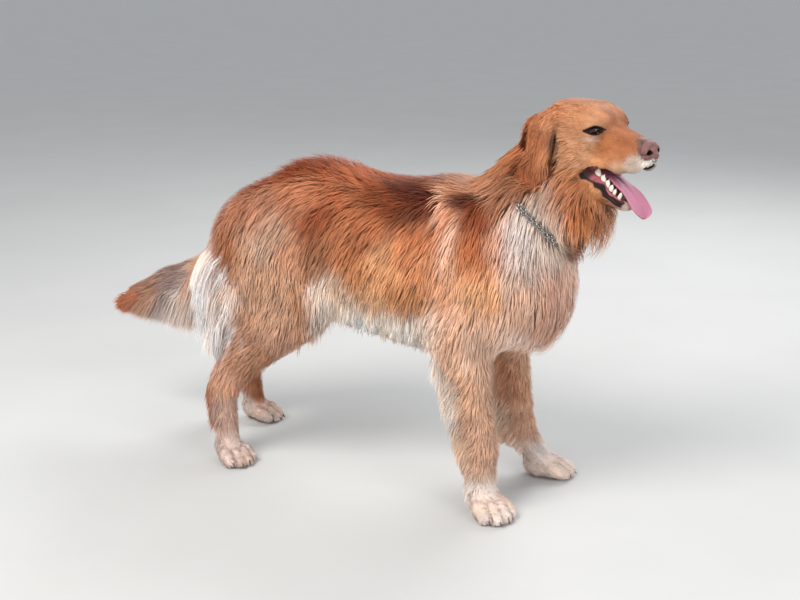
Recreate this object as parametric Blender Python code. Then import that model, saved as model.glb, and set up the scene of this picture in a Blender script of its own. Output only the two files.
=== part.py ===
"""A golden retriever standing with its head raised and turned to its right, mouth open,
life size. Frame: +X towards the chest, +Y the dog's left, +Z up, in metres, with the origin on
the floor under the middle of the outline. The outline is the outside of the coat.

The form is a distance field: tapered limbs, ellipsoids and a lofted trunk joined smoothly,
set out by the dog's own measurements. Each region of the field is made into a closed mesh,
thinned, and parted from its neighbours by thin cuts.
"""
import bpy
import bmesh
import numpy as np
from math import radians, sin, cos, pi
from mathutils import Matrix, Vector

# ---------------------------------------------------------------- driving sizes, in metres
CUT_GAP = 0.0004            # between two parts that meet
SOLE_LEVEL = 0.0            # height of the flats under the paws
MIDDLE = (-0.0376, -0.0007)  # middle of the outline in the posing frame, which has the withers near x = 0.15
EYE_DIAMETER = 0.0224
HEAD_TURN, HEAD_PITCH, HEAD_ROLL = -23.0, -2.7, 0.4
JAW_OPEN = 27.0
COLLAR_THICK = 0.0072
CLAW_LENGTH = 0.011

# ---------------------------------------------------------------- field tools
def v3(*a):
    return np.array(a, np.float32)

def smin(a, b, k):
    h = np.maximum(k - np.abs(a - b), 0.0) / k
    return np.minimum(a, b) - h * h * k * 0.25

def smax(a, b, k):
    return -smin(-a, -b, k)

def ellipsoid(p, c, r, rot=None):
    q = p - v3(*c)
    if rot is not None:
        q = q @ rot
    r = v3(*r)
    k0 = np.linalg.norm(q / r, axis=1)
    k1 = np.linalg.norm(q / (r * r), axis=1)
    return k0 * (k0 - 1.0) / np.maximum(k1, 1e-6)

def limb(p, a, b, ra, rb, flat=1.0, ax=(0, 1, 0)):
    """Tapered capsule from a to b. flat scales its thickness along ax (under 1 is thinner)."""
    a = v3(*a); b = v3(*b)
    ab = b - a
    t = np.clip(((p - a) @ ab) / float(ab @ ab), 0, 1)
    q = p - (a + t[:, None] * ab)
    if flat != 1.0:
        ax = v3(*ax)
        along = q @ ax
        q = q + np.outer(along * (1.0 / flat - 1.0), ax)
    return (np.linalg.norm(q, axis=1) - (ra + (rb - ra) * t)) * (1.0 if flat == 1.0 else (0.5 + 0.5 * flat))

def chain(p, pts, rads, k=0.01, flat=1.0, ax=(0, 1, 0)):
    d = None
    for i in range(len(pts) - 1):
        e = limb(p, pts[i], pts[i + 1], rads[i], rads[i + 1], flat, ax)
        d = e if d is None else smin(d, e, k)
    return d

def tube(p, pts, rads, flat=1.0, k=0.004):
    """Tapered capsules end to end, with no swelling where they join."""
    d = None
    for i in range(len(pts) - 1):
        e = limb(p, pts[i], pts[i + 1], rads[i], rads[i + 1], flat)
        d = e if d is None else smin(d, e, k)
    return d

def pchip(xs, ys, x):
    """Monotone cubic through named stations."""
    xs = np.asarray(xs, float); ys = np.asarray(ys, float)
    h = np.diff(xs); m = np.diff(ys) / h
    d = np.zeros_like(ys)
    for i in range(1, len(xs) - 1):
        if m[i - 1] * m[i] > 0:
            w1 = 2 * h[i] + h[i - 1]; w2 = h[i] + 2 * h[i - 1]
            d[i] = (w1 + w2) / (w1 / m[i - 1] + w2 / m[i])
    d[0], d[-1] = m[0], m[-1]
    x = np.clip(x, xs[0], xs[-1])
    i = np.clip(np.searchsorted(xs, x) - 1, 0, len(xs) - 2)
    t = (x - xs[i]) / h[i]
    t2, t3 = t * t, t * t * t
    return ((2 * t3 - 3 * t2 + 1) * ys[i] + (t3 - 2 * t2 + t) * h[i] * d[i]
            + (-2 * t3 + 3 * t2) * ys[i + 1] + (t3 - t2) * h[i] * d[i + 1])

def loft(p, stations, n=2.2, egg=0.0, axis=0, up=2, side=1):
    """Body of sections across one axis. A station is (place, low, high, half width)."""
    s = np.array(sorted(stations), float)
    grid = np.linspace(s[0, 0], s[-1, 0], 256)
    lo_t, hi_t, w_t = (pchip(s[:, 0], s[:, i], grid) for i in (1, 2, 3))
    x = p[:, axis]
    xc = np.clip(x, s[0, 0], s[-1, 0])
    lo, hi, w = (np.interp(xc, grid, t).astype(np.float32) for t in (lo_t, hi_t, w_t))
    mid, half = (lo + hi) / 2, (hi - lo) / 2
    z = (p[:, up] - mid)
    if egg:
        w = w * (1 + egg * np.clip(z / half, -1, 1))
    y = p[:, side]
    q = np.sqrt(y * y + z * z) + 1e-9
    rho = (np.abs(y / w) ** n + np.abs(z / half) ** n) ** (1.0 / n) + 1e-9
    d = np.where(rho > 1e-3, q - q / rho, -np.minimum(w, half))
    dx = np.abs(x - xc)
    return np.where(dx > 0, np.sqrt(np.maximum(d, 0) ** 2 + dx * dx) + np.minimum(d, 0), d).astype(np.float32)

def turn(yaw=0, pitch=0, roll=0):
    """Matrix whose columns are the turned x, y and z axes. Pitch up is positive."""
    y, q, r = radians(yaw), radians(pitch), radians(roll)
    Rz = np.array([[cos(y), -sin(y), 0], [sin(y), cos(y), 0], [0, 0, 1]])
    Ry = np.array([[cos(q), 0, -sin(q)], [0, 1, 0], [sin(q), 0, cos(q)]])
    Rx = np.array([[1, 0, 0], [0, cos(r), -sin(r)], [0, sin(r), cos(r)]])
    return (Rz @ Ry @ Rx).astype(np.float32)

# ---------------------------------------------------------------- the pose
HEAD_O = v3(0.4500, -0.022, 0.7037)
HEAD_R = turn(HEAD_TURN, HEAD_PITCH, HEAD_ROLL)
def head_local(p):
    return (p - HEAD_O) @ HEAD_R
def head_world(q):
    return np.asarray(q, np.float32) @ HEAD_R.T + HEAD_O
JAW_PIVOT = v3(-0.062, 0.0, -0.038)      # in head space
JAW_R = turn(0, -JAW_OPEN, 0)
def jaw_local(q):
    """Head space to jaw space, where the jaw is shut."""
    return (q - JAW_PIVOT) @ JAW_R + JAW_PIVOT
def jaw_head(q):
    return (np.asarray(q, np.float32) - JAW_PIVOT) @ JAW_R.T + JAW_PIVOT

LEGS = {  # joints of each leg, in the row frame: shoulder or hip, elbow or stifle, wrist or hock, knuckles, toes
    "foreleg_right": dict(top=(0.285, -0.076, 0.415), elbow=(0.218, -0.088, 0.325), mid=(0.254, -0.094, 0.215), wrist=(0.266, -0.097, 0.118), foot=(0.270, -0.099, 0.043), turn=-34),
    "foreleg_left": dict(top=(0.290, 0.076, 0.415), elbow=(0.228, 0.088, 0.325), mid=(0.256, 0.094, 0.210), wrist=(0.264, 0.097, 0.100), foot=(0.302, 0.101, 0.036), turn=28),
    "hindleg_right": dict(hip=(-0.222, -0.060, 0.460), stifle=(-0.118, -0.092, 0.348), hock=(-0.290, -0.102, 0.150), foot=(-0.283, -0.107, 0.040), turn=-24),
    "hindleg_left": dict(hip=(-0.228, 0.060, 0.460), stifle=(-0.140, 0.092, 0.345), hock=(-0.372, 0.102, 0.148), foot=(-0.362, 0.107, 0.040), turn=8),
}

# ---------------------------------------------------------------- skin: trunk, neck, legs
TRUNK = [  # place along the body, belly line, back line, half width
    (-0.330, 0.412, 0.436, 0.016), (-0.310, 0.392, 0.470, 0.042), (-0.268, 0.384, 0.518, 0.072),
    (-0.200, 0.372, 0.556, 0.088), (-0.130, 0.352, 0.569, 0.092), (-0.050, 0.322, 0.571, 0.101),
    (0.050, 0.298, 0.571, 0.106), (0.140, 0.286, 0.574, 0.099), (0.220, 0.294, 0.560, 0.088), (0.270, 0.330, 0.520, 0.060)]

def trunk(p):
    d = loft(p, TRUNK, n=2.25, egg=0.10)
    d = smin(d, ellipsoid(p, (0.250, 0, 0.420), (0.088, 0.084, 0.112)), 0.05)          # forechest
    for s in (-1, 1):
        d = smin(d, limb(p, (0.160, s * 0.040, 0.528), (0.285, s * 0.068, 0.415), 0.030, 0.048, 0.7), 0.05)
    return d

def neck(p):
    d = limb(p, (0.236, 0.000, 0.466), (0.326, -0.004, 0.586), 0.090, 0.058, 0.90)
    d = smin(d, limb(p, (0.326, -0.004, 0.586), (0.384, -0.008, 0.662), 0.058, 0.045, 0.94), 0.03)
    d = smin(d, limb(p, (0.350, -0.004, 0.570), (0.428, -0.018, 0.606), 0.048, 0.034), 0.03)
    return d

def paw(p, centre, yaw, front=True):
    """A paw standing on the floor: pad, four toes. centre is under the knuckles."""
    R = turn(yaw)
    q = (p - v3(centre[0], centre[1], 0)) @ R
    s = 1.08 if front else 0.98
    d = ellipsoid(q, (-0.006 * s, 0, 0.022), (0.030 * s, 0.027 * s, 0.020 * s))
    for i, (ty, tx, ang) in enumerate(((-0.0215, 0.012, -10), (-0.0078, 0.024, -3), (0.0078, 0.024, 3), (0.0215, 0.012, 10))):
        a = radians(ang)
        b = (tx * s, ty * s, 0.0195)
        e = ((tx + 0.020 * cos(a)) * s, (ty + 0.020 * sin(a)) * s, 0.0115)
        t = limb(q, (tx * s - 0.02, ty * s * 0.7, 0.024), b, 0.011 * s, 0.0120 * s)
        t = smin(t, limb(q, b, e, 0.0120 * s, 0.0100 * s), 0.008)
        d = smin(d, t, 0.005)
    return d

def foreleg(p, J):
    top, el, mid, wr, ft = (np.array(J[k]) for k in ("top", "elbow", "mid", "wrist", "foot"))
    d = limb(p, top, el, 0.054, 0.042, 0.72)
    d = smin(d, tube(p, [el, el * 0.4 + mid * 0.6, mid * 0.4 + wr * 0.6, wr], [0.039, 0.0285, 0.0235, 0.0235], 0.90), 0.016)
    d = smin(d, ellipsoid(p, el + (-0.020, 0, 0.008), (0.020, 0.018, 0.026)), 0.02)
    d = smin(d, ellipsoid(p, wr + (0.004, 0, 0.002), (0.0235, 0.0235, 0.026)), 0.008)
    d = smin(d, limb(p, wr, ft, 0.0215, 0.0235, 0.95), 0.006)
    R = turn(J["turn"])
    d = smin(d, paw(p, ft + R @ np.array((0.012, 0, 0)), J["turn"]), 0.012)
    return smin(d, ellipsoid(p, wr + R @ np.array((-0.023, 0, -0.022)), (0.009, 0.010, 0.011)), 0.010)

def hindleg(p, J):
    hip, st, hk, ft = (np.array(J[k]) for k in ("hip", "stifle", "hock", "foot"))
    low = st * 0.35 + hk * 0.65
    d = limb(p, hip, st, 0.078, 0.048, 0.66)
    d = smin(d, ellipsoid(p, (hip + st) / 2 + (-0.050, 0.0, -0.03), (0.076, 0.040, 0.088)), 0.035)
    d = smin(d, limb(p, hip + (-0.046, 0, -0.020), (hip * 0.3 + hk * 0.7) + (0.01, 0, 0.03), 0.042, 0.028, 0.8), 0.03)
    d = smin(d, tube(p, [st, low, hk], [0.046, 0.027, 0.020], 0.80), 0.02)
    heel = hk + (-0.018, 0, 0.006)
    d = smin(d, limb(p, heel + (0.030, 0, 0.075), heel, 0.009, 0.013, 0.8), 0.022)
    d = smin(d, ellipsoid(p, hk, (0.0235, 0.0185, 0.025)), 0.008)
    d = smin(d, limb(p, hk, ft, 0.0185, 0.0195, 0.88), 0.008)
    R = turn(J["turn"])
    return smin(d, paw(p, ft + R @ np.array((0.010, 0, 0)), J["turn"], False), 0.012)

TAIL = dict(pts=[(-0.298, 0, 0.458), (-0.335, 0.001, 0.412), (-0.372, 0.003, 0.374), (-0.430, 0.004, 0.344), (-0.505, 0.006, 0.315), (-0.590, 0.006, 0.279)],
            rad=[0.027, 0.023, 0.019, 0.0155, 0.012, 0.007])
def tail(p):
    return chain(p, TAIL["pts"], TAIL["rad"], 0.015)

# ---------------------------------------------------------------- head, in its own space: x to the nose, y left, z up
EYE_C = (-0.0045, 0.0325, 0.0005); EYE_OUT = 40.0

def skull(q):
    m = q.copy(); m[:, 1] = np.abs(m[:, 1])     # both sides alike
    d = ellipsoid(m, (-0.058, 0, -0.005), (0.064, 0.053, 0.0415))
    d = smin(d, ellipsoid(m, (-0.022, 0.0155, 0.008), (0.030, 0.025, 0.0270)), 0.022)        # brow
    d = smin(d, ellipsoid(m, (-0.090, 0, -0.008), (0.029, 0.036, 0.030)), 0.02)              # occiput
    d = smin(d, limb(m, (0.000, 0.033, -0.020), (-0.078, 0.045, -0.018), 0.011, 0.013), 0.022)  # cheekbone
    d = smin(d, ellipsoid(m, (-0.062, 0.035, -0.042), (0.038, 0.020, 0.036)), 0.024)         # jaw muscle
    mz = loft(m, [(-0.030, -0.058, 0.016, 0.040), (0.000, -0.057, 0.0160, 0.0360), (0.020, -0.056, 0.0100, 0.0330), (0.040, -0.055, 0.0030, 0.0300),
                  (0.060, -0.054, -0.0010, 0.0275), (0.080, -0.051, -0.0045, 0.0240), (0.091, -0.047, -0.009, 0.0185), (0.098, -0.041, -0.016, 0.010)], n=2.5, egg=-0.12)
    d = smin(d, mz, 0.016)
    # lips of the upper jaw
    d = smin(d, chain(m, [(-0.034, 0.0345, -0.048), (-0.010, 0.0335, -0.050), (0.020, 0.0300, -0.0515), (0.050, 0.0255, -0.052), (0.074, 0.0185, -0.0480), (0.088, 0.0075, -0.0430)],
                      [0.0095, 0.0095, 0.0095, 0.0100, 0.0095, 0.0085], 0.006), 0.012)
    d = smin(d, ellipsoid(m, (-0.012, 0.0265, -0.034), (0.040, 0.0125, 0.024)), 0.016)
    # cheeks that close the mouth behind its corners
    d = smin(d, chain(m, [(-0.036, 0.0325, -0.046), (-0.028, 0.0320, -0.070), (-0.032, 0.0290, -0.094)], [0.0125, 0.0125, 0.0120], 0.006), 0.016)
    d = smin(d, limb(m, (-0.060, 0.020, -0.070), (-0.046, 0.016, -0.100), 0.026, 0.020), 0.02)
    # hollows before the eyes and the furrow of the brow
    d = smax(d, -ellipsoid(m, (0.030, 0.040, -0.006), (0.026, 0.010, 0.012)), 0.014)
    d = smax(d, -limb(m, (-0.030, 0, 0.0500), (0.008, 0, 0.041), 0.006, 0.006), 0.016)
    # lids round the eye
    d = smin(d, ellipsoid(m, EYE_C, (0.0140, 0.0140, 0.0132)), 0.007)
    return d

def lower_jaw(q):
    """The jaw, opened about its joint."""
    m = jaw_local(q); m[:, 1] = np.abs(m[:, 1])
    d = chain(m, [(-0.060, 0.037, -0.052), (-0.010, 0.0315, -0.058), (0.030, 0.0215, -0.0595), (0.066, 0.0115, -0.0565), (0.078, 0.003, -0.0550)],
              [0.018, 0.0125, 0.0100, 0.0090, 0.0085], 0.012)
    d = smin(d, chain(m, [(-0.060, 0, -0.070), (0.000, 0, -0.0665), (0.040, 0, -0.0640), (0.072, 0, -0.0585)], [0.020, 0.0150, 0.0105, 0.0085], 0.01), 0.012)
    return d

EAR_ROWS = [  # height, front edge, rear edge, distance of the flap from the midline
    (0.026, -0.076, -0.094, 0.0370), (0.010, -0.066, -0.112, 0.0575), (-0.012, -0.061, -0.124, 0.0685), (-0.040, -0.064, -0.128, 0.0735),
    (-0.066, -0.070, -0.126, 0.0755), (-0.086, -0.078, -0.117, 0.0760), (-0.098, -0.090, -0.105, 0.0760)]

def ears(q, s, thick=0.0033):
    """A hanging flap. s is +1 for the left ear and -1 for the right one."""
    m = q.copy(); m[:, 1] *= s
    R = np.array(EAR_ROWS)[::-1]
    g = np.linspace(R[0, 0], R[-1, 0], 64)
    z = np.clip(m[:, 2], R[0, 0], R[-1, 0])
    fr, re, mid = (np.interp(z, g, pchip(R[:, 0], R[:, i], g)) for i in (1, 2, 3))
    c, h = (fr + re) / 2, (fr - re) / 2
    over = np.abs(m[:, 2] - z)
    across = np.abs(m[:, 0] - c) - h
    mid = mid + 0.006 * ((m[:, 0] - c) / 0.03) ** 2 * -1.0
    flat = np.abs(m[:, 1] - mid) - thick
    edge = np.where(over > 0, np.sqrt(np.maximum(across, 0) ** 2 + over ** 2), across * 0.9)
    return smax(edge, flat, 0.006)

def ear_room(q, s, clear):
    """The space that a hanging ear and all outside it take up."""
    m = q.copy(); m[:, 1] *= s
    R = np.array(EAR_ROWS)[::-1]
    z = np.clip(m[:, 2], R[0, 0], R[-1, 0])
    fr, re, mid = (np.interp(z, R[:, 0], R[:, i]) for i in (1, 2, 3))
    over = np.abs(m[:, 2] - z)
    across = np.sqrt(np.maximum(np.abs(m[:, 0] - (fr + re) / 2) - (fr - re) / 2, 0) ** 2 + over ** 2) - 0.008
    mid = mid - 0.006 * ((m[:, 0] - (fr + re) / 2) / 0.03) ** 2
    return smax(smax(across, mid - clear - m[:, 1], 0.006), m[:, 2] + 0.008, 0.012)

def skin_body(p):
    d = trunk(p)
    d = smin(d, neck(p), 0.05)
    for n, J in LEGS.items():
        d = smin(d, foreleg(p, J) if n.startswith("fore") else hindleg(p, J), 0.030)
    return d

def mouth(q):
    """The space between the jaws."""
    j = jaw_local(q)
    w = np.interp(q[:, 0], (-0.06, -0.01, 0.03, 0.08), (0.018, 0.0245, 0.0215, 0.0120)).astype(np.float32)
    return smax(smax(q[:, 2] + 0.044, -(j[:, 2] + 0.0535), 0.006), smax(np.abs(q[:, 1]) - w, -(q[:, 0] + 0.048), 0.01), 0.006)

# ---------------------------------------------------------------- coat
COAT = [  # place, depth, reach
    ((0.10, 0, 0.60), 0.015, 0.08), ((0.0, 0, 0.60), 0.019, 0.07), ((-0.08, 0, 0.60), 0.044, 0.055), ((-0.155, 0, 0.595), 0.038, 0.05),
    ((-0.22, 0, 0.56), 0.020, 0.045), ((-0.27, 0, 0.54), 0.015, 0.05), ((-0.33, 0, 0.46), 0.014, 0.05), ((0.17, 0, 0.58), 0.018, 0.06),
    ((0.10, 0.12, 0.45), 0.020, 0.10), ((0.10, -0.12, 0.45), 0.020, 0.10), ((-0.05, 0.12, 0.45), 0.018, 0.10), ((-0.05, -0.12, 0.45), 0.018, 0.10),
    ((-0.2, 0.10, 0.40), 0.018, 0.09), ((-0.2, -0.10, 0.40), 0.018, 0.09),
    ((0.05, 0, 0.29), 0.016, 0.08), ((-0.10, 0, 0.34), 0.016, 0.07),
    ((0.30, 0, 0.36), 0.020, 0.07), ((0.36, 0, 0.45), 0.018, 0.07),
    ((0.31, 0.07, 0.56), 0.022, 0.05), ((0.31, -0.07, 0.56), 0.022, 0.05), ((0.33, 0.08, 0.63), 0.012, 0.045), ((0.33, -0.08, 0.63), 0.012, 0.045), ((0.25, 0, 0.62), 0.016, 0.06), ((0.32, 0, 0.70), 0.010, 0.05), ((0.39, 0, 0.57), 0.026, 0.05),
    ((0.25, 0.12, 0.24), 0.009, 0.05), ((0.25, -0.12, 0.24), 0.009, 0.05),
    ((0.26, 0.1, 0.12), 0.006, 0.05), ((0.26, -0.1, 0.12), 0.006, 0.05), ((0.30, 0.1, 0.02), 0.0035, 0.05), ((0.30, -0.1, 0.02), 0.0035, 0.05),
    ((-0.25, -0.1, 0.23), 0.010, 0.05), ((-0.30, 0.1, 0.23), 0.010, 0.05),
    ((-0.28, -0.1, 0.13), 0.006, 0.05), ((-0.35, 0.1, 0.13), 0.006, 0.05), ((-0.25, -0.1, 0.03), 0.0035, 0.05), ((-0.33, 0.1, 0.03), 0.0035, 0.05),
    ((-0.45, 0, 0.37), 0.014, 0.08), ((-0.56, 0, 0.30), 0.014, 0.08)]
HEAD_COAT = [  # in head space
    ((-0.06, 0, 0.05), 0.006, 0.03), ((-0.02, 0, 0.035), 0.004, 0.025), ((0.02, 0, 0.012), 0.002, 0.03), ((0.08, 0, -0.01), 0.001, 0.03),
    ((0.05, 0.03, -0.04), 0.0015, 0.03), ((0.05, -0.03, -0.04), 0.0015, 0.03), ((0.0, 0.04, -0.02), 0.003, 0.02), ((0.0, -0.04, -0.02), 0.003, 0.02),
    ((-0.05, 0.06, -0.04), 0.008, 0.03), ((-0.05, -0.06, -0.04), 0.008, 0.03), ((-0.11, 0, 0.03), 0.009, 0.03), ((0.03, 0, -0.10), 0.003, 0.03), ((-0.08, 0.05, -0.08), 0.016, 0.04), ((-0.08, -0.05, -0.08), 0.016, 0.04)]

def coat_depth(p, q):
    num = np.zeros(len(p), np.float32); den = np.full(len(p), 1e-9, np.float32)
    for src, table, gain in ((p, COAT, 1.0), (q, HEAD_COAT, 3.0)):
        for c, v, r in table:
            w = gain * np.exp(-((src - v3(*c)) ** 2).sum(1) / (r * r))
            num += w * v; den += w
    return num / den

def plumes(p, d):
    """Joins the long hair outside the coat's ordinary depth to the field d."""
    d = smin(d, ellipsoid(p, (0.326, 0.0, 0.412), (0.069, 0.096, 0.128)), 0.03)                     # chest
    d = smin(d, ellipsoid(p, (0.405, -0.012, 0.535), (0.062, 0.070, 0.072)), 0.03)                 # throat
    for s in (-1, 1):
        d = smin(d, ellipsoid(p, (-0.322, s * 0.064, 0.330), (0.046, 0.042, 0.118), turn(0, -8, 0)), 0.03)   # breeches
    d = smin(d, loft(p, [(-0.12, 0.325, 0.38, 0.030), (-0.05, 0.291, 0.36, 0.055), (0.05, 0.289, 0.35, 0.06), (0.14, 0.279, 0.34, 0.06), (0.20, 0.278, 0.33, 0.045)], n=2.0), 0.03)
    for n, J in LEGS.items():
        if n.startswith("fore"):
            wr, el = np.array(J["wrist"]), np.array(J["elbow"])
            fin = tube(p, [el + (-0.02, 0, -0.03), el * 0.4 + wr * 0.6 + (-0.044, 0, 0.0), wr + (-0.035, 0, -0.034)], [0.026, 0.023, 0.014], 0.62)
        else:
            hk = np.array(J["hock"])
            fin = tube(p, [hk + (-0.002, 0, 0.050), hk + (-0.022, 0, -0.020), hk + (-0.034, 0, -0.064), hk + (-0.048, 0, -0.100)], [0.020, 0.022, 0.019, 0.009], 0.55)
        d = smin(d, fin, 0.018)
    return d

def body_coat(p):
    """Outside of the coat on neck, trunk and legs, and on the head apart from the free part of the lower jaw."""
    q = head_local(p)
    d = smin(skin_body(p), skull(q), 0.030) - coat_depth(p, q)
    d = plumes(p, d)
    for s in (-1, 1):
        d = smax(d, -ear_room(q, s, 0.0100), 0.004)
    return d

def jaw_coat(p):
    q = head_local(p)
    return lower_jaw(q) - 0.0025

def tail_coat(p):
    d = tail(p) - 0.014
    d = smin(d, limb(p, (-0.385, 0.003, 0.334), (-0.48, 0.006, 0.285), 0.045, 0.058, 0.6), 0.025)
    return smin(d, limb(p, (-0.48, 0.006, 0.285), (-0.600, 0.006, 0.250), 0.058, 0.026, 0.6), 0.025)

def ear_coat(p, s):
    return ears(head_local(p), s) - 0.006

# ---------------------------------------------------------------- field to mesh
def sample(field, lo, hi, h, coarse=4):
    """The field on a grid, worked out finely only near the surface."""
    lo = np.array(lo, float)
    H = h * coarse
    n = np.ceil((np.array(hi, float) - lo) / H).astype(int)
    ax = [lo[i] + (np.arange(n[i]) + 0.5) * H for i in range(3)]
    g = np.stack(np.meshgrid(*ax, indexing="ij"), -1).reshape(-1, 3).astype(np.float32)
    F = np.concatenate([field(c) for c in np.array_split(g, max(1, len(g) // 300000))]).reshape(n)
    def grow(a):
        for i in range(3):
            a = np.repeat(a, coarse, i)
        return a
    fine, mask = grow(F).astype(np.float32), grow(np.abs(F) < H * 1.9)
    idx = np.argwhere(mask)
    pts = (lo + (idx + 0.5) * h).astype(np.float32)
    fine[mask] = np.concatenate([field(c) for c in np.array_split(pts, max(1, len(pts) // 300000))])
    fine[[0, -1]] = fine[:, [0, -1]] = fine[:, :, [0, -1]] = np.maximum(h, 1e-3)
    return fine, lo + 0.5 * h

CORNERS = [(a, b, c) for a in (0, 1) for b in (0, 1) for c in (0, 1)]
def one_sheet(code):
    """Whether a cell with these corners inside holds a single sheet of surface."""
    for inside in (True, False):
        left = {c for i, c in enumerate(CORNERS) if bool(code >> i & 1) == inside}
        if not left:
            continue
        stack = [left.pop()]
        while stack:
            c = stack.pop()
            for o in [o for o in left if sum(abs(c[k] - o[k]) for k in range(3)) == 1]:
                left.discard(o)
                stack.append(o)
        if left:
            return False
    return True
SINGLE = np.array([one_sheet(c) for c in range(256)])

def fill_pinches(F):
    """Fills the corner of a cell where two sheets of the surface would touch."""
    nx, ny, nz = F.shape
    for _ in range(30):
        s = F < 0
        code = sum(s[a:nx - 1 + a, b:ny - 1 + b, c:nz - 1 + c].astype(np.int32) << i for i, (a, b, c) in enumerate(CORNERS))
        bad = np.argwhere(~SINGLE[code])
        if not len(bad):
            break
        at = np.stack([bad + np.array(c) for c in CORNERS], 1)
        val = F[at[..., 0], at[..., 1], at[..., 2]]
        k = np.argmin(np.where(val < 0, 1e9, val), 1)
        w = at[np.arange(len(at)), k]
        F[w[:, 0], w[:, 1], w[:, 2]] = -1e-5
    return F

def surface(F, lo, h):
    """Surface nets: one point in each cell that the surface crosses, one quad for each crossed edge."""
    F = fill_pinches(F)
    s = F < 0
    nx, ny, nz = F.shape
    c = sum(s[a:nx - 1 + a, b:ny - 1 + b, d:nz - 1 + d].astype(np.int8) for a in (0, 1) for b in (0, 1) for d in (0, 1))
    cells = np.argwhere((c > 0) & (c < 8))
    ids = -np.ones(c.shape, np.int64)
    ids[tuple(cells.T)] = np.arange(len(cells))
    acc, cnt = np.zeros((len(cells), 3)), np.zeros(len(cells))
    for a in range(3):
        for u in (0, 1):
            for w in (0, 1):
                o = np.zeros(3, int)
                o[(a + 1) % 3], o[(a + 2) % 3] = u, w
                e = o.copy()
                e[a] = 1
                p0, p1 = F[tuple((cells + o).T)], F[tuple((cells + e).T)]
                cross = (p0 < 0) != (p1 < 0)
                t = np.where(cross, p0 / np.where(cross, p0 - p1, 1), 0)
                for k in range(3):
                    acc[:, k] += np.where(cross, t if k == a else o[k], 0)
                cnt += cross
    verts = (cells + acc / cnt[:, None]) * h + lo
    quads = []
    for a in range(3):
        b, d = (a + 1) % 3, (a + 2) % 3
        first, second = [slice(None)] * 3, [slice(None)] * 3
        first[a], second[a] = slice(0, -1), slice(1, None)
        idx = np.argwhere(s[tuple(first)] != s[tuple(second)])
        idx = idx[(idx[:, b] > 0) & (idx[:, d] > 0)]
        def cell(db, dd):
            j = idx.copy()
            j[:, b] -= db
            j[:, d] -= dd
            return ids[tuple(j.T)]
        q = np.stack([cell(1, 1), cell(0, 1), cell(0, 0), cell(1, 0)], 1)
        turned = ~s[tuple(idx.T)]
        q[turned] = q[turned][:, ::-1]
        quads.append(q)
    return verts, np.concatenate(quads)

# ---------------------------------------------------------------- Blender helpers
for ob in list(bpy.data.objects):
    bpy.data.objects.remove(ob, do_unlink=True)
for me in list(bpy.data.meshes):
    bpy.data.meshes.remove(me)

def place(name, mesh):
    ob = bpy.data.objects.new(name, mesh)
    bpy.context.scene.collection.objects.link(ob)
    return ob

def from_points(name, verts, faces):
    me = bpy.data.meshes.new(name)
    me.from_pydata([tuple(v) for v in np.asarray(verts, float)], [], [tuple(int(i) for i in f) for f in faces])
    me.update()
    return place(name, me)

def settle(ob):
    """Applies the object's modifiers to its mesh."""
    dg = bpy.context.evaluated_depsgraph_get()
    me = bpy.data.meshes.new_from_object(ob.evaluated_get(dg))
    old = ob.data
    ob.modifiers.clear()
    ob.data = me
    bpy.data.meshes.remove(old)
    return ob

def thin(ob, triangles):
    """Fewer, larger triangles where the form allows."""
    now = sum(len(p.vertices) - 2 for p in ob.data.polygons)
    m = ob.modifiers.new("thin", "DECIMATE")
    m.ratio = min(1.0, triangles / now)
    m.use_collapse_triangulate = True
    return settle(ob)

def biggest_piece(ob):
    """Drops any crumb that a cut leaves."""
    bm = bmesh.new()
    bm.from_mesh(ob.data)
    left, groups = set(bm.verts), []
    while left:
        stack, group = [left.pop()], []
        while stack:
            v = stack.pop()
            group.append(v)
            for e in v.link_edges:
                o = e.other_vert(v)
                if o in left:
                    left.discard(o)
                    stack.append(o)
        groups.append(group)
    groups.sort(key=len, reverse=True)
    bmesh.ops.delete(bm, geom=[v for g in groups[1:] for v in g], context="VERTS")
    bm.to_mesh(ob.data)
    bm.free()
    return ob

def form(name, field, lo, hi, h, triangles):
    """The region of the field in the box, as a closed mesh of about so many triangles."""
    for i in range(6):
        F, o = sample(field, np.array(lo) + i * 0.0004, hi, h)
        ob = from_points(name, *surface(F, o, h))
        biggest_piece(ob)
        thin(ob, triangles)
        if open_edges(ob.data) == 0 or i == 5:
            return ob
        bpy.data.objects.remove(ob, do_unlink=True)

def swell(ob, amount):
    """A copy, grown outwards by amount."""
    me = ob.data.copy()
    co = np.zeros(len(me.vertices) * 3, np.float32)
    no = np.zeros(len(me.vertices) * 3, np.float32)
    me.vertices.foreach_get("co", co)
    me.vertices.foreach_get("normal", no)
    me.vertices.foreach_set("co", co + no * amount)
    me.update()
    return place(ob.name + "_grown", me)

def open_edges(me):
    """Edges that don't have exactly two faces."""
    count = {}
    for p in me.polygons:
        for k in p.edge_keys:
            count[k] = count.get(k, 0) + 1
    return sum(1 for c in count.values() if c != 2)

def boolean(ob, other, how):
    """Joins or cuts. Where two corners would merely touch, the other solid is moved by a hair and the step repeated."""
    base = ob.data.copy()
    for i in range(8):
        m = ob.modifiers.new(how, "BOOLEAN")
        m.operation, m.solver, m.object = how, "EXACT", other
        settle(ob)
        if open_edges(ob.data) == 0:
            break
        if i < 7:
            ob.data = base.copy()
            other.data.transform(Matrix.Translation((2e-5 * sin(i + 1.0), 2e-5 * cos(i * 1.7 + 1.0), 1.5e-5)))
    return ob

def carve(ob, other, gap=CUT_GAP):
    """Takes the other solid, with a gap round it, out of this one."""
    cutter = swell(other, gap * 1.5)
    boolean(ob, cutter, "DIFFERENCE")
    bpy.data.objects.remove(cutter, do_unlink=True)
    return biggest_piece(ob)

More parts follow.
